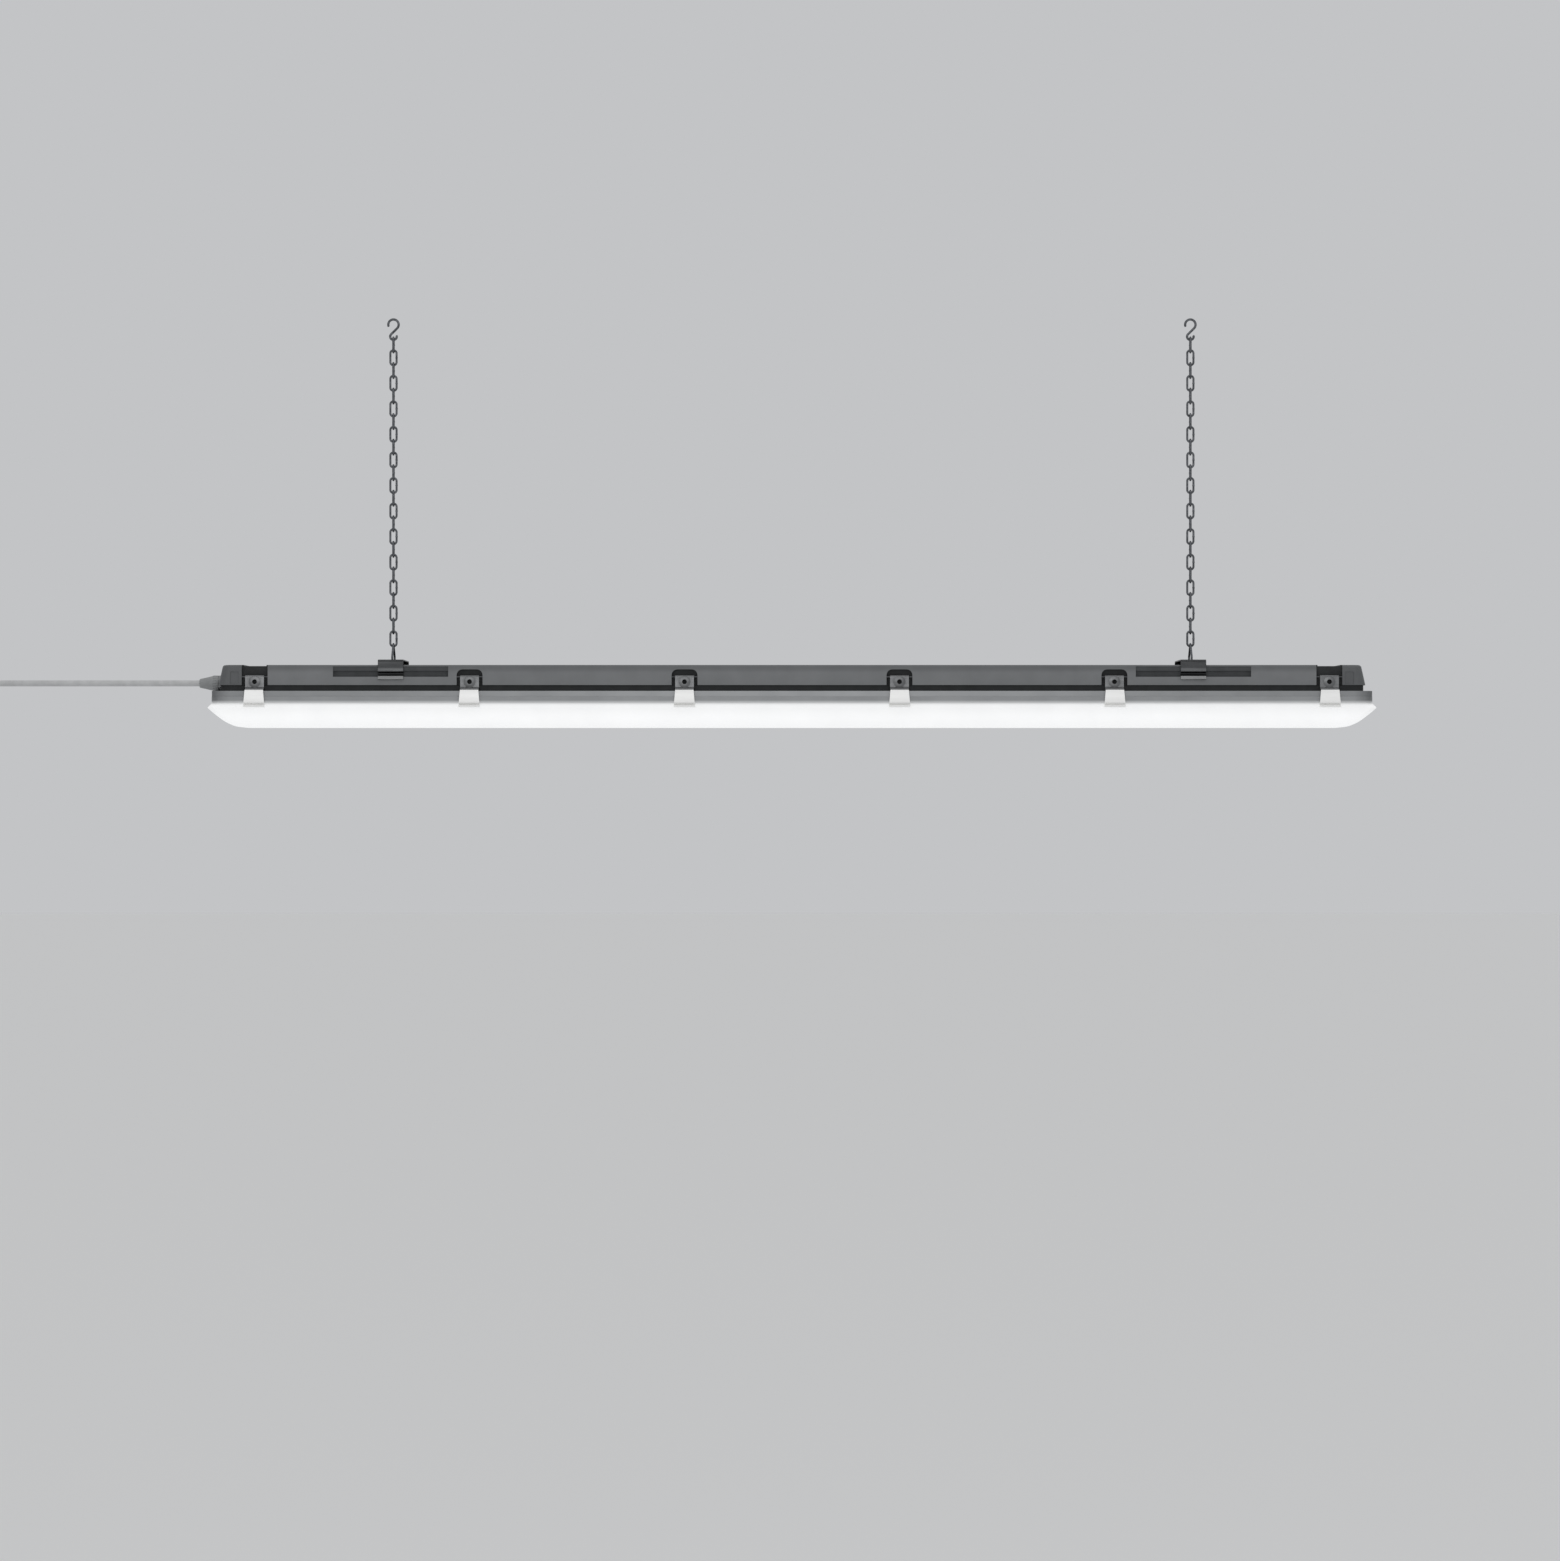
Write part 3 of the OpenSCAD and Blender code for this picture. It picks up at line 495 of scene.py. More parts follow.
def recessMaterial(name, low, high):
    # the same polycarbonate painted dark in the pockets, grooves and neck: painted shade where they lie in
    # shadow, rough, with no shine
    material, tree, shader, where = newMaterial(name)
    dress(tree, shader, mottle(tree, where, 12, low, high, detail=5), grain(tree, where, 1.0, 0.08, detail=3),
          {"Roughness": 0.85, "IOR": 1.58})
    return material


def diffuserMaterial():
    # opal polycarbonate with a frosted face: milky and even, its trough lit through by the boards inside and
    # a little brighter towards the bottom, its rim outside the light and so plain grey, with painted shade
    # towards its rounded ends
    material, tree, shader, where = newMaterial("frostedOpalPolycarbonate")
    lit = byHeight(tree, where, *diffuserTones["lit"])
    deeper = byHeight(tree, where, *diffuserTones["deeper"], *diffuserTones["glow"])
    amount = addNode(tree, "ShaderNodeMath", {0: lit, 1: deeper}, operation="MULTIPLY")
    along = mottle(tree, where, 26, "#8A8C8E", "#929496")
    # painted shade on the rim's rounded ends
    ends = mottle(tree, where, 20, "#4B4D4F", "#535557")
    rim = mixColour(tree, towardsEnds(tree, where, *rimShade), along, ends)
    trough = mottle(tree, where, 40, "#CBCCCD", "#D1D2D3")
    dress(tree, shader, mixColour(tree, lit, rim, trough), grain(tree, where, 0.6, 0.03),
          {"Roughness": 0.42, "IOR": 1.58, "Emission Color": linear("#FFFFFF")})
    tree.links.new(amount.outputs[0], shader.inputs["Emission Strength"])
    return material


def sheetMaterial(name, tones, roughness):
    # rolled stainless sheet, satin finish: fine lines along the light stretch the highlights, drawn 0.5 mm
    # apart, coarser than the real ones, so that they show; its colour changes in bands by height, which are
    # painted light
    # and shade: darker under painted shade, much paler and less metallic under a painted highlight. tones:
    # (height it starts at, two hex colours, metallic) from the top down
    material, tree, shader, where = newMaterial(name)
    colour, metal = None, None
    for start, low, high, metallic in tones:
        tone = mottle(tree, where, 4, low, high, stretch=(0.12, 1, 1))
        if colour is None:
            colour, metal = tone, metallic
            continue
        below = byHeight(tree, where, start, start - sheetLine)
        colour = mixColour(tree, below, colour, tone)
        metal = addNode(tree, "ShaderNodeMix", {0: below, 2: metal, 3: metallic}).outputs[0]
    dress(tree, shader, colour, grain(tree, where, 0.5, 0.02, stretch=(0.04, 1, 1)), {"Roughness": roughness})
    tree.links.new(metal, shader.inputs["Metallic"])
    return material


def wireMaterial():
    # zinc-plated wire gone dull in the air: dark blue-grey with paler rubbed spots
    material, tree, shader, where = newMaterial("weatheredZincPlatedWire")
    dress(tree, shader, mottle(tree, where, 2.2, "#515356", "#74767A"), grain(tree, where, 0.4, 0.02),
          {"Metallic": 1, "Roughness": 0.44})
    return material


housingGrey = housingMaterial()
opal = diffuserMaterial()
# painted shade: darkest in the latch pockets and the neck, lighter in the bracket grooves
pocketShade = recessMaterial("paintedShadePocket", "#1D1F20", "#252728")
grooveShade = recessMaterial("paintedShadeGroove", "#3B3D3F", "#444648")
# latch: painted shade on the upper part, which sits in its pocket, then a painted highlight that makes the
# lower part and the tab near white
latchSteel = sheetMaterial("satinStainlessLatch", [
    (0, "#6A6B6C", "#777879", 1.0), (-385.4, "#9C9D9E", "#A6A7A8", 0.8), (-387.9, "#F1F1F0", "#F6F6F5", 0.15),
    (-403.8, "#F0F0EF", "#F5F5F4", 0.05)], 0.36)
# bracket: bands of painted light and shade: a painted dark reflection on the top and upper arm, a painted
# highlight on the jog, painted shadow at the hook, a painted highlight on the flared foot
bracketSteel = sheetMaterial("satinStainlessBracket", [
    (0, "#3E3F40", "#48494A", 1.0), (-364.8, "#606162", "#6B6C6D", 1.0), (-369.4, "#2A2B2C", "#343536", 1.0),
    (-373.4, "#858686", "#919292", 0.8)], 0.36)
zincWire = wireMaterial()

# what is inside or small: name, slot, two hex colours, roughness, metallic, cloud and grain in millimetres
innerFinishes = [
    # turned steel, darkened with painted shade, as the pins sit in the shaded latch pockets; small turning
    # marks
    ("turnedSteelPins", "pin_steel", "#4E4F51", "#5C5D5F", 0.38, 1, 2.0, 0.3),
    # poured foam: nearly black, no shine, open cells
    ("pouredFoamGasket", "gasket_foam", "#161616", "#222222", 0.95, 0, 1.5, 0.7),
    # baked powder coat on steel: white with a faint orange peel
    ("whitePowderCoat", "white_enamel", "#E0E0DE", "#E6E6E4", 0.4, 0, 30, 1.2),
    # solder mask over glass laminate: glossy white, very slightly wavy
    ("whiteSolderMask", "board_white", "#E4E4E1", "#EAEAE8", 0.25, 0, 12, 0.8),
    # phosphor under clear resin: warm yellow, glassy
    ("yellowPhosphorResin", "chip_phosphor", "#DCC468", "#E6D07A", 0.18, 0, 1.0, 0.3),
    # moulded nylon: creamy and waxy
    ("mouldedIvoryNylon", "connector_ivory", "#DEDAC6", "#E6E2D0", 0.45, 0, 8, 0.6),
    # galvanised sheet: grey with large pale crystals
    ("galvanisedSheet", "driver_steel", "#A2A4A7", "#B8BABD", 0.36, 1, 6, 0.9),
    # solder mask: glossy green with darker tracks under it
    ("greenSolderMask", "circuit_green", "#1B5A2E", "#26723C", 0.28, 0, 3, 0.6),
    # thin extruded wire insulation: smooth and slightly shiny
    ("brownWireInsulation", "lead_brown", "#5B3420", "#6A3E28", 0.38, 0, 5, 0.5),
    ("blueWireInsulation", "lead_blue", "#24427C", "#2C4E90", 0.38, 0, 5, 0.5),
    ("redWireInsulation", "lead_red", "#A12A22", "#B2332A", 0.38, 0, 5, 0.5),
    # moulded nylon gland: mid grey, waxy, with a fine grain
    ("mouldedGreyNylon", "gland_nylon", "#858788", "#8E9091", 0.5, 0, 7, 0.7),
    # neoprene: black and dull
    ("blackNeoprene", "seal_rubber", "#1A1A1A", "#242424", 0.75, 0, 3, 0.5),
]
reliefShare = 0.04  # how deep the grain of those is, as a share of its size
innerMaterials = {"cord_pvc": cordPvc}
for name, slotName, low, high, roughness, metallic, cloud, grainSize in innerFinishes:
    material, tree, shader, where = newMaterial(name)
    relief = grain(tree, where, grainSize, grainSize * reliefShare)
    dress(tree, shader, mottle(tree, where, cloud, low, high), relief,
          {"Roughness": roughness, "Metallic": metallic})
    innerMaterials[slotName] = material
for part in frame["record"]["subparts"]:  # CAD pieces that stay keep their mesh and get their slot's finish
    if part["material_slot"] in innerMaterials:
        for materialSlot in nodes[part["node"]].material_slots:
            materialSlot.material = innerMaterials[part["material_slot"]]
print("materials made")


# housing and diffuser: round-cornered outlines drawn through level after level
def loft(corner, rings):  # rings: half length, half width, height
    x, y, z = rings[0]
    bpy.ops.mesh.primitive_plane_add(size=2, location=place(0, 0, z))
    piece = bpy.context.object
    piece.scale = (x * mm, y * mm, 1)
    settle(piece)
    startEdit(piece)
    chooseAll()
    bpy.ops.mesh.bevel(offset=corner * mm, segments=8, affect="VERTICES")
    chooseAll()
    for (x0, y0, z0), (x1, y1, z1) in zip(rings, rings[1:]):
        extrudeBy(0, 0, z1 - z0)
        bpy.ops.transform.resize(value=(x1 / x0, y1 / y0, 1), center_override=place(0, 0, z1))
    endEdit()
    return piece


housingPlan = {  # a Back is how far from the middle plane a recess in a long side ends
    "corner": 8, "rings": [
        (591, 32.5, -362), (592.5, 34, -362.4), (593.6, 35.1, -363.5), (594, 35.5, -365),
        (598, 35.5, -383), (596, 34, -383), (596, 34, -389.2), (604.5, 41.5, -389.2), (604.5, 41.5, -395),
        (602.9, 39.9, -395), (602.9, 39.9, -392), (600.1, 37.1, -392), (600.1, 37.1, -395),
        (588.6, 31.6, -395), (588.6, 31.6, -365.2)],
    "latches": 6, "latchStep": 223.8, "pocketWidth": 27, "pocketBack": 32.22, "pocketTop": -366.7,
    "pocketLow": -384, "pocketRound": 6,
    "hangerX": 418, "grooveHalf": 60, "grooveTop": -363.6, "slotTop": -368.2, "grooveLow": -374.4,
    "grooveBack": 34.7, "slotBack": 32.3,
    "notch": (547.5, 571), "notchFloor": -363.2, "panel": (576, 585), "panelHeights": (-382, -369),
    "panelBack": 34.9, "clearSide": 45, "clearTop": -355, "notchSide": 50, "edge": 0.45,
    "glandHeight": -380.5, "glandHole": 6.05, "glandHoleMiddle": -593, "glandHoleLength": 14,
    "flange": [(-588, 9.2), (-597.4, 9.2), (-598.1, 8.6)],
}


def sideBlock(plan, side, back, xRange, zRange, roundTop=0):  # a block that cuts a recess into a long side
    low, high = sorted(xRange)
    near, far = sorted((side * back, side * plan["clearSide"]))
    return boxBetween((low, near, zRange[0]), (high, far, zRange[1]), roundTop)


def pocketBlocks(plan):  # the pockets of the latches, round at the top except at the two ends, which are open
    blocks = []
    for number in range(plan["latches"]):
        x = (number - 2.5) * plan["latchStep"]
        xRange = (x - plan["pocketWidth"] / 2, x + plan["pocketWidth"] / 2)
        atEnd = number in (0, plan["latches"] - 1)
        zRange = (plan["pocketLow"], plan["clearTop"] if atEnd else plan["pocketTop"])
        for side in bothWays:
            roundTop = 0 if atEnd else plan["pocketRound"]
            blocks.append(sideBlock(plan, side, plan["pocketBack"], xRange, zRange, roundTop))
    return blocks


def makeHousing(plan):
    shell = loft(plan["corner"], plan["rings"])
    closeUp(shell)
    flange = turnedAlongX("flange", plan["flange"], plan["glandHeight"])
    closeUp(flange)
    cutWith(shell, [flange], "UNION")
    first, second = pocketBlocks(plan), []
    for hanger in bothWays:
        x = hanger * plan["hangerX"]
        xRange = (x - plan["grooveHalf"], x + plan["grooveHalf"])
        panel = [hanger * edge for edge in plan["panel"]]
        for side in bothWays:  # the bracket's groove, its deeper slot, and the pressed panel on the end block
            groove = (plan["grooveLow"], plan["grooveTop"])
            first.append(sideBlock(plan, side, plan["grooveBack"], xRange, groove))
            slot = (plan["grooveLow"], plan["slotTop"])
            second.append(sideBlock(plan, side, plan["slotBack"], xRange, slot))
            second.append(sideBlock(plan, side, plan["panelBack"], panel, plan["panelHeights"]))
        low, high = sorted(hanger * edge for edge in plan["notch"])
        reach = plan["notchSide"]
        second.append(boxBetween((low, -reach, plan["notchFloor"]), (high, reach, plan["clearTop"])))
    glandMiddle = (plan["glandHoleMiddle"], 0, plan["glandHeight"])
    second.append(rodAlong("x", glandMiddle, plan["glandHole"], plan["glandHoleLength"]))
    cutWith(shell, first)
    cutWith(shell, second)
    closeUp(shell)
    softenEdges(shell, plan["edge"], angle=50)
    closeUp(shell, 32)
    return shell


housing = makeHousing(housingPlan)
handOver(housing, "housingMoulding", "lamp", "grey_polycarbonate", housingGrey, "housing")

# which faces get painted shade: depth is the distance from the middle plane, the rest heights and half
# lengths
darkPlan = {"depth": (32, 35.45), "neck": (-389, -382.7), "pocketHalf": 13.6, "pocket": (-384.2, -361.9),
            "grooveHalf": 60.2, "groove": (-374.6, -363.4)}


def within(value, low, high):
    return low < value < high


def darkTone(p):  # painted shade: 1 in the latch pockets and the neck, 2 in the bracket grooves, 0 elsewhere
    recessed = within(abs(p.y), *darkPlan["depth"])
    latchXs = [step * housingPlan["latchStep"] for step in (0.5, 1.5, 2.5)]
    atLatch = any(abs(abs(p.x) - x) < darkPlan["pocketHalf"] for x in latchXs)
    if within(p.z, *darkPlan["neck"]) or (recessed and atLatch and within(p.z, *darkPlan["pocket"])):
        return 1
    atBracket = abs(abs(p.x) - housingPlan["hangerX"]) < darkPlan["grooveHalf"]
    return 2 if recessed and atBracket and within(p.z, *darkPlan["groove"]) else 0


# the recessed faces get the painted shade materials
housing.data.materials.append(pocketShade)
housing.data.materials.append(grooveShade)
for face in housing.data.polygons:
    face.material_index = darkTone(face.center / mm)
print("housing made")


def smoothRings(rings, steps):  # more levels on a smooth curve through the given ones
    smooth = []
    for i in range(len(rings) - 1):
        a, b, c, d = (Vector(rings[min(max(i + k, 0), len(rings) - 1)]) for k in (-1, 0, 1, 2))
        for s in range(steps):
            t = s / steps
            smooth.append(tuple(0.5 * (2 * b + (c - a) * t + (2 * a - 5 * b + 4 * c - d) * t * t
                                       + (3 * b - a - 3 * c + d) * t ** 3)))
    return smooth + [tuple(rings[-1])]


diffuserPlan = {  # the wall is full from wallRun below the rim's foot, and thins upwards from there
    "corner": 8, "steps": 3, "wall": 2, "endWall": 2.8, "rimFoot": -401, "wallRun": 20, "edge": 0.5,
    "rim": [(605, 42, -401), (605, 42, -395)], "land": (598.8, 35.8, -395), "innerEnd": 602.4,
    "trough": [(572, 24, -427), (580, 29.4, -426), (585.6, 32.8, -424), (592, 35.5, -420.7),
               (598.4, 37.5, -416), (604, 38.5, -411.6), (609.3, 39, -406.9)],
    "tip": [(609.5, 39, -406.6), (609.5, 39, -406.3), (609.35, 39, -406), (604.3, 39, -401)],
}


def makeDiffuser(plan):
    outer = smoothRings(plan["trough"], plan["steps"]) + plan["tip"]
    inner = []
    for x, y, z in reversed(outer):
        rise = plan["wall"] * min(1, (plan["rimFoot"] - z) / plan["wallRun"])
        inner.append((min(x - plan["endWall"], plan["innerEnd"]), y - plan["wall"], z + rise))
    piece = loft(plan["corner"], outer + plan["rim"] + [plan["land"]] + inner)
    closeUp(piece)
    softenEdges(piece, plan["edge"], angle=50)
    closeUp(piece, 32)
    return piece


diffuser = makeDiffuser(diffuserPlan)
handOver(diffuser, "diffuserTrough", "lamp", "opal_polycarbonate", opal, "diffuser")
print("diffuser made")


# bent sheet: latches and spring brackets
def bendSheet(width, path):  # a strip of sheet along X, its profile given as (y, z)
    (y0, z0), (y1, z1) = path[0], path[1]
    bpy.ops.mesh.primitive_plane_add(size=1)
    sheet = bpy.context.object
    length = math.hypot(y1 - y0, z1 - z0)
    sheet.scale = (width * mm, length * mm, 1)
    sheet.rotation_euler = (math.atan2(z1 - z0, y1 - y0), 0, 0)
    sheet.location = place(0, (y0 + y1) / 2, (z0 + z1) / 2)
    settle(sheet)
    startEdit(sheet)
    choose(sheet, "EDGE", lambda p, edge: abs(p.y - y1) < touch and abs(p.z - z1) < touch)
    for (ya, za), (yb, zb) in zip(path[1:], path[2:]):
        extrudeBy(0, yb - ya, zb - za)
    endEdit()
    return sheet


def roundBends(sheet, path, radius, segments=4):
    startEdit(sheet)
    choose(sheet, "EDGE", lambda p, edge: any(math.hypot(p.y - y, p.z - z) < touch for y, z in path))
    bpy.ops.mesh.bevel(offset=radius * mm, segments=segments, affect="EDGES")
    endEdit()


def thicken(sheet, thickness):
    solid = sheet.modifiers.new("sheetThickness", "SOLIDIFY")
    solid.thickness = thickness * mm
    solid.offset = 0
    solid.use_even_offset = True
    applyModifiers(sheet)


latchPlan = {  # the tab widens from shoulderHalf at its shoulder, shoulderRun high, to tabHalf at its foot
    "thickness": 1, "neckHalf": 9.8, "shoulderHalf": 9.5, "tabHalf": 11.2, "shoulder": -387.2,
    "shoulderRun": 0.7, "foot": -406.4,
    "path": [(35.98, -374.5), (35.98, -385.5), (42.9, -388.6), (44.1, -401.5), (40.7, -402.7),
             (44.2, -405.4)],
    "pin": (34.6, -374.5), "rollDegrees": -285, "rollSteps": 16, "hole": 2.5, "holeHeight": -379.6,
    "boss": 6, "bossHeight": 0.4, "bossSink": 0.5, "bend": 0.8, "edge": 0.18, "bossEdge": 0.25,
}


def widenTab(sheet, plan):
    shoulder = plan["shoulder"]
    for height in (shoulder + plan["shoulderRun"], shoulder):
        chooseAll()
        bpy.ops.mesh.bisect(plane_co=place(0, 0, height), plane_no=(0, 0, 1))
    rows = {round(v.co.z / mm, 3) for v in bmesh.from_edit_mesh(sheet.data).verts}
    for row in sorted(r for r in rows if r < shoulder + 0.05):
        down = (shoulder - row) / (shoulder - plan["foot"])
        half = plan["shoulderHalf"] + (plan["tabHalf"] - plan["shoulderHalf"]) * max(down, 0)
        choose(sheet, "VERT", lambda p, v: abs(p.z - row) < 0.002)
        bpy.ops.transform.resize(value=(half / plan["neckHalf"], 1, 1), center_override=(0, 0, 0))


def makeLatch(plan):
    sheet = bendSheet(2 * plan["neckHalf"], plan["path"])
    roundBends(sheet, plan["path"][1:-1], plan["bend"])
    startEdit(sheet)
    widenTab(sheet, plan)
    # rolled knuckle round the pin
    pinY, pinZ = plan["pin"]
    choose(sheet, "EDGE", lambda p, edge: abs(p.z - pinZ) < touch and abs(p.x) < touch)
    bpy.ops.mesh.spin(steps=plan["rollSteps"], angle=math.radians(plan["rollDegrees"]),
                      center=place(0, pinY, pinZ), axis=(1, 0, 0))
    endEdit()
    thicken(sheet, plan["thickness"])
    closeUp(sheet)
    softenEdges(sheet, plan["edge"], angle=50)
    # raised boss round the tool hole, then the hole through both
    y, holeHeight = plan["path"][0][0], plan["holeHeight"]
    bossMiddle = y + plan["thickness"] / 2 + (plan["bossHeight"] - plan["bossSink"]) / 2
    bossLength = plan["bossHeight"] + plan["bossSink"]
    boss = rodAlong("y", (0, bossMiddle, holeHeight), plan["boss"], bossLength, 48)
    softenEdges(boss, plan["bossEdge"], angle=60)
    cutWith(sheet, [boss], "UNION")
    cutWith(sheet, [rodAlong("y", (0, y, holeHeight), plan["hole"], 8, 40)])
    closeUp(sheet, 32)
    return sheet


firstLatch = makeLatch(latchPlan)
for number in range(1, housingPlan["latches"] + 1):
    x = (number - 3.5) * housingPlan["latchStep"]
    for face, mirrored in (("front", True), ("rear", False)):
        latch = copyPiece(firstLatch, (x, 0, 0), mirrorY=mirrored)
        closeUp(latch, 32)
        node = f"latch_{face}_{number}"
        handOver(latch, f"latchPressing_{face}_{number}", node, "stainless_sheet", latchSteel, node)
bpy.data.objects.remove(firstLatch, do_unlink=True)
print("latches made")

bracketPlan = {
    "thickness": 1.2, "width": 26.5, "topBend": 2.2, "bend": 0.7, "footHole": 1.4, "footHalf": 15,
    "screwHole": 2.75, "screwOff": 8.5, "top": -357, "edge": 0.2,
    "arm": [(35.6, -357.0), (35.6, -364.6), (36.6, -368.3), (33.2, -370.1), (33.2, -372.4), (36.1, -373.7),
            (37.6, -377.2)],
}


def makeBracket(plan, side):
    arm, top = plan["arm"], plan["top"]
    otherArm = [(-y, z) for y, z in arm]
    sheet = bendSheet(plan["width"], otherArm[::-1] + arm)
    roundBends(sheet, [arm[0], otherArm[0]], plan["topBend"], 6)
    roundBends(sheet, arm[1:-1] + otherArm[1:-1], plan["bend"])
    thicken(sheet, plan["thickness"])
    closeUp(sheet)
    softenEdges(sheet, plan["edge"], angle=50)
    # holes for the stirrup's two feet and for a ceiling screw
    feet = [y * plan["footHalf"] for y in bothWays]
    drills = [rodAlong("z", (0, y, top), plan["footHole"], 6, 24) for y in feet]
    drills.append(rodAlong("z", (side * plan["screwOff"], 0, top), plan["screwHole"], 6, 40))
    cutWith(sheet, drills)
    closeUp(sheet, 32)
    bracket = copyPiece(sheet, (side * housingPlan["hangerX"], 0, 0))
    bpy.data.objects.remove(sheet, do_unlink=True)
    return bracket


# chains: one link modelled once, hooks and stirrups of bent wire
chainPlan = {
    "wire": 1.1, "bend": 3.3, "straight": 9.2, "pitch": 13.4, "firstMiddle": -25.5, "count": 24,
    "weld": ((0.9, 1), (-0.9, 1), (0.45, 1.14), (-0.45, 1.14)),
    "hookWire": 1.25, "upperMiddle": -4.2, "upperRadius": 5.45, "eyeMiddle": -16.7, "eyeRadius": 3.45,
    "hookLean": 45.398, "loopOpen": 205, "eyeEnd": 385, "loopSteps": 32,
    "apexMiddle": -342.5, "apexSteps": 16, "kneeHalf": 15, "kneeHeight": -352.4, "footHeight": -359,
    "footTail": 5, "corner": 1.6, "cornerSteps": 8,
}


def makeLink(plan):  # a ring drawn apart between two of its rings of points, with the weld on one side
    bpy.ops.mesh.primitive_torus_add(
        major_radius=plan["bend"] * mm, minor_radius=plan["wire"] * mm, major_segments=24, minor_segments=12,
        rotation=(0, 0, math.radians(7.5)))
    link = bpy.context.object
    settle(link)
    startEdit(link)
    for side in bothWays:
        choose(link, "VERT", lambda p, v: p.y * side > 0)
        bpy.ops.transform.translate(value=(0, side * plan["straight"] / 2 * mm, 0))
    for height, grow in plan["weld"]:  # two bounds, then the thicker band between them
        chooseAll()
        bpy.ops.mesh.bisect(plane_co=place(0, height, 0), plane_no=(0, 1, 0))
        choose(link, "VERT", lambda p, v: abs(p.y - height) < 0.05 and p.x > 0)
        bpy.ops.transform.resize(value=(grow, 1, grow), center_override=place(plan["bend"], height, 0))
    endEdit()
    closeUp(link, 60)
    return link


def hookPoints(plan):
    points = []
    steps = plan["loopSteps"]
    for middle, radius, start, end in (
            (plan["upperMiddle"], plan["upperRadius"], plan["loopOpen"], -plan["hookLean"]),
            (plan["eyeMiddle"], plan["eyeRadius"], 180 - plan["hookLean"], plan["eyeEnd"])):
        for i in range(steps + 1):
            angle = math.radians(start + (end - start) * i / steps)
            points.append((radius * math.cos(angle), 0, middle + radius * math.sin(angle)))
    return points


def stirrupPoints(plan):
    # from the round top over the link, a straight leg down to a knee on each side, then a foot turned out
    half, knee, foot, bend = plan["kneeHalf"], plan["kneeHeight"], plan["footHeight"], plan["bend"]
    reachY, reachZ = half, knee - plan["apexMiddle"]
    lean = math.atan2(reachZ, reachY) + math.acos(bend / math.hypot(reachY, reachZ))
    turnPoint = (bend * math.cos(lean), plan["apexMiddle"] + bend * math.sin(lean))
    corners = [Vector(turnPoint), Vector((half, knee)), Vector((half, foot)),
               Vector((half + plan["footTail"], foot))]
    leg = [corners[0]]
    for before, here, after in zip(corners, corners[1:], corners[2:]):
        inWay, outWay = (here - before).normalized(), (after - here).normalized()
        turn = inWay.angle(outWay)
        cut = plan["corner"] * math.tan(turn / 2)
        start, end = here - inWay * cut, here + outWay * cut
        for i in range(plan["cornerSteps"] + 1):  # each corner is one smooth bend
            t = i / plan["cornerSteps"]
            leg.append((start * (1 - t) ** 2 + here * 2 * t * (1 - t) + end * t * t))
    leg.append(corners[-1])
    apex = []
    for i in range(plan["apexSteps"] + 1):
        angle = math.pi - lean + (2 * lean - math.pi) * i / plan["apexSteps"]
        apex.append((bend * math.cos(angle), plan["apexMiddle"] + bend * math.sin(angle)))
    profile = [(-p.x, p.y) for p in reversed(leg[1:])] + apex + [(p.x, p.y) for p in leg[1:]]
    return [(0, y, z) for y, z in profile]


def bendWire(name, points, radius, moveX):
    wire = pointsCurve(name, points, radius, roundEnds=True)
    wire.location = place(moveX, 0, 0)
    activate(wire)
    bpy.ops.object.convert(target="MESH")
    settle(wire)
    closeUp(wire, 60)
    return wire


firstLink = makeLink(chainPlan)
edgeOn = Matrix(((0, 0, 1, 0), (1, 0, 0, 0), (0, 1, 0, 0), (0, 0, 0, 1)))  # odd links, in the YZ plane
faceOn = Matrix(((1, 0, 0, 0), (0, 0, -1, 0), (0, 1, 0, 0), (0, 0, 0, 1)))  # even links, in the XZ plane
for sideName, side in leftAndRight.items():
    hangerX = side * housingPlan["hangerX"]
    carriage = f"carriage_{sideName}"
    links = []
    for number in range(1, chainPlan["count"] + 1):
        link = copyPiece(firstLink)
        height = chainPlan["firstMiddle"] - (number - 1) * chainPlan["pitch"]
        link.matrix_world = Matrix.Translation(place(hangerX, 0, height)) @ (edgeOn if number % 2 else faceOn)
        settle(link)
        links.append(link)
    groups = {"top_link": links[:1], "chain": links[1:-1], "end_link": links[-1:]}
    for groupName, group in groups.items():
        node = f"{groupName}_{sideName}"
        handOver(joinPieces(group), f"wireLinks_{node}", node, "zinc_plated_wire", zincWire, node)
    hook = bendWire("hook", hookPoints(chainPlan), chainPlan["hookWire"], hangerX)
    handOver(hook, f"bentHook_{sideName}", "hanger", "zinc_plated_wire", zincWire, f"top_hook_{sideName}")
    stirrup = bendWire("stirrup", stirrupPoints(chainPlan), chainPlan["wire"], hangerX)
    handOver(stirrup, f"bentStirrup_{sideName}", carriage, "zinc_plated_wire", zincWire,
             f"stirrup_{sideName}")
    bracket = makeBracket(bracketPlan, side)
    handOver(bracket, f"springBracket_{sideName}", carriage, "stainless_sheet", bracketSteel,
             f"bracket_{sideName}")
bpy.data.objects.remove(firstLink, do_unlink=True)
print("chains, hooks, stirrups and brackets made")


# gland cap: a ribbed grip and a smooth cone that eases the cord out; bores: distance along, radius, length
glandPlan = {"start": -601, "height": -380.5, "grips": 18, "gripDeep": 0.35, "gripMiddle": 3, "gripHalf": 1.5,
             "profile": [(0, 8.0), (0.4, 8.2), (5.6, 8.2), (7.4, 7.4), (13, 6.1), (19, 4.8), (20, 4.5)],
             "bores": [(16, 3.3, 12), (0, 6.05, 22.1)], "edge": 0.15}


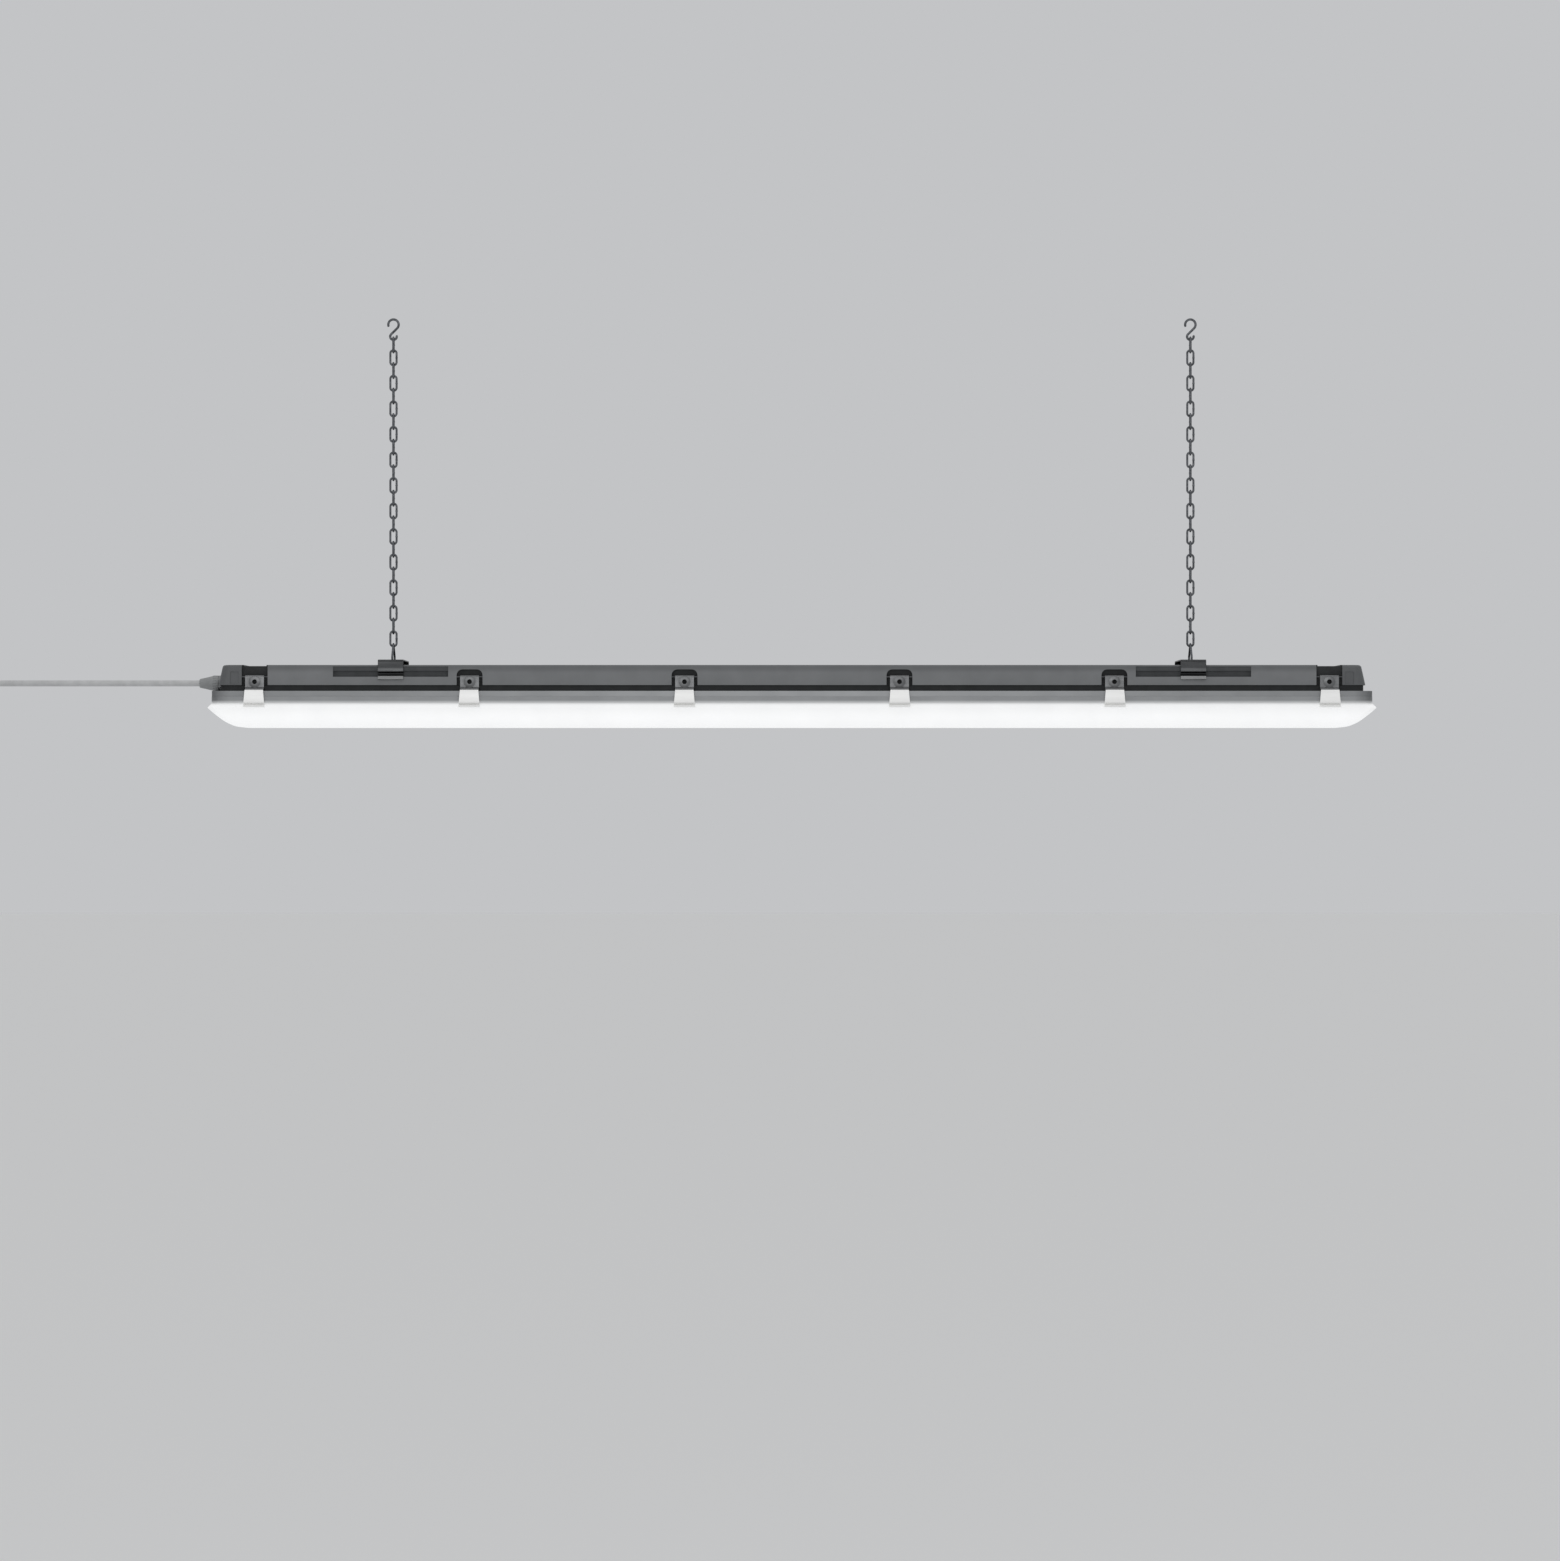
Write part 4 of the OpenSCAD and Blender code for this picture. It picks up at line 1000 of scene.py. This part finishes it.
def makeGlandCap(plan):
    start, height = plan["start"], plan["height"]
    profile = [(start - along, radius) for along, radius in plan["profile"]]
    cap = turnedAlongX("cap", profile, height, plan["grips"] * 4)
    closeUp(cap)
    startEdit(cap)  # every other pair of faces on the wide part is pressed in between the grips
    wedge = 2 * math.pi / plan["grips"]
    gripX = start - plan["gripMiddle"]
    choose(cap, "FACE", lambda p, face: abs(p.x - gripX) < plan["gripHalf"] and
           (math.atan2(p.y, p.z - height) % wedge) / wedge < 0.5)
    bpy.ops.mesh.inset(thickness=0.1 * mm, depth=-plan["gripDeep"] * mm)
    endEdit()
    softenEdges(cap, plan["edge"], angle=50)
    for along, radius, length in plan["bores"]:
        cutWith(cap, [rodAlong("x", (start - along, 0, height), radius, length, 40)])
    closeUp(cap, 32)
    return cap


glandCap = makeGlandCap(glandPlan)
handOver(glandCap, "glandGripCap", "lamp", "gland_nylon", innerMaterials["gland_nylon"], "gland_cap")
print("gland made")


# studio, in metres: pale floor, soft key from the front and above, even ambient light
studio = {
    "floorHeight": -2.4, "floorSize": 120, "floor": "#F0F1F2", "background": "#C3C4C6", "ambient": 0.62,
    "aim": (0, 0, -0.39),
    "key": {"place": (-0.6, -5.0, 0.62), "size": (3.6, 1.0), "power": 30},
    "top": {"place": (0.2, -0.6, 2.4), "size": (4.0, 3.0), "power": 22},
}


def makeFloor(plan):
    bpy.ops.object.select_all(action="DESELECT")
    bpy.ops.mesh.primitive_plane_add(size=plan["floorSize"], location=(0, 0, plan["floorHeight"]))
    floor = bpy.context.object
    floor.name = "studioFloor"
    material = bpy.data.materials.new("paleStudioFloor")
    material.use_nodes = True
    tree = material.node_tree
    shader = tree.nodes["Principled BSDF"]
    shader.inputs["Base Color"].default_value = linear(plan["floor"])
    shader.inputs["Roughness"].default_value = 0.9
    under = addNode(tree, "ShaderNodeNewGeometry").outputs["Backfacing"]  # seen from below it isn't there
    clear = addNode(tree, "ShaderNodeBsdfTransparent")
    both = addNode(tree, "ShaderNodeMixShader", {0: under, 1: shader.outputs[0], 2: clear.outputs[0]})
    tree.links.new(both.outputs[0], tree.nodes["Material Output"].inputs["Surface"])
    floor.data.materials.append(material)


def makeWorld(plan):  # what lights the part is white, and what the camera and shiny faces see is pale grey
    world = bpy.data.worlds.new("studioWorld")
    bpy.context.scene.world = world
    world.use_nodes = True
    tree = world.node_tree
    rays = addNode(tree, "ShaderNodeLightPath")
    seen = addNode(tree, "ShaderNodeMath", {
        0: rays.outputs["Is Camera Ray"], 1: rays.outputs["Is Glossy Ray"]}, operation="MAXIMUM")
    shown = addNode(tree, "ShaderNodeBackground", {"Color": linear(plan["background"]), "Strength": 1.0})
    lit = tree.nodes["Background"]
    lit.inputs["Color"].default_value = (1, 1, 1, 1)
    lit.inputs["Strength"].default_value = plan["ambient"]
    mixed = addNode(tree, "ShaderNodeMixShader", {0: seen.outputs[0], 1: lit.outputs[0], 2: shown.outputs[0]})
    tree.links.new(mixed.outputs[0], tree.nodes["World Output"].inputs["Surface"])


def addPanel(name, light, aim):
    data = bpy.data.lights.new(name + "Panel", "AREA")
    data.shape = "RECTANGLE"
    data.size, data.size_y = light["size"]
    data.energy = light["power"]
    lamp = bpy.data.objects.new(name + "Panel", data)
    lamp.location = light["place"]
    lamp.rotation_euler = (Vector(aim) - lamp.location).to_track_quat("-Z", "Y").to_euler()
    bpy.context.scene.collection.objects.link(lamp)


makeFloor(studio)
makeWorld(studio)
for name in ("key", "top"):
    addPanel(name, studio[name], studio["aim"])
bpy.context.scene.view_settings.view_transform = "Standard"
print("studio made")
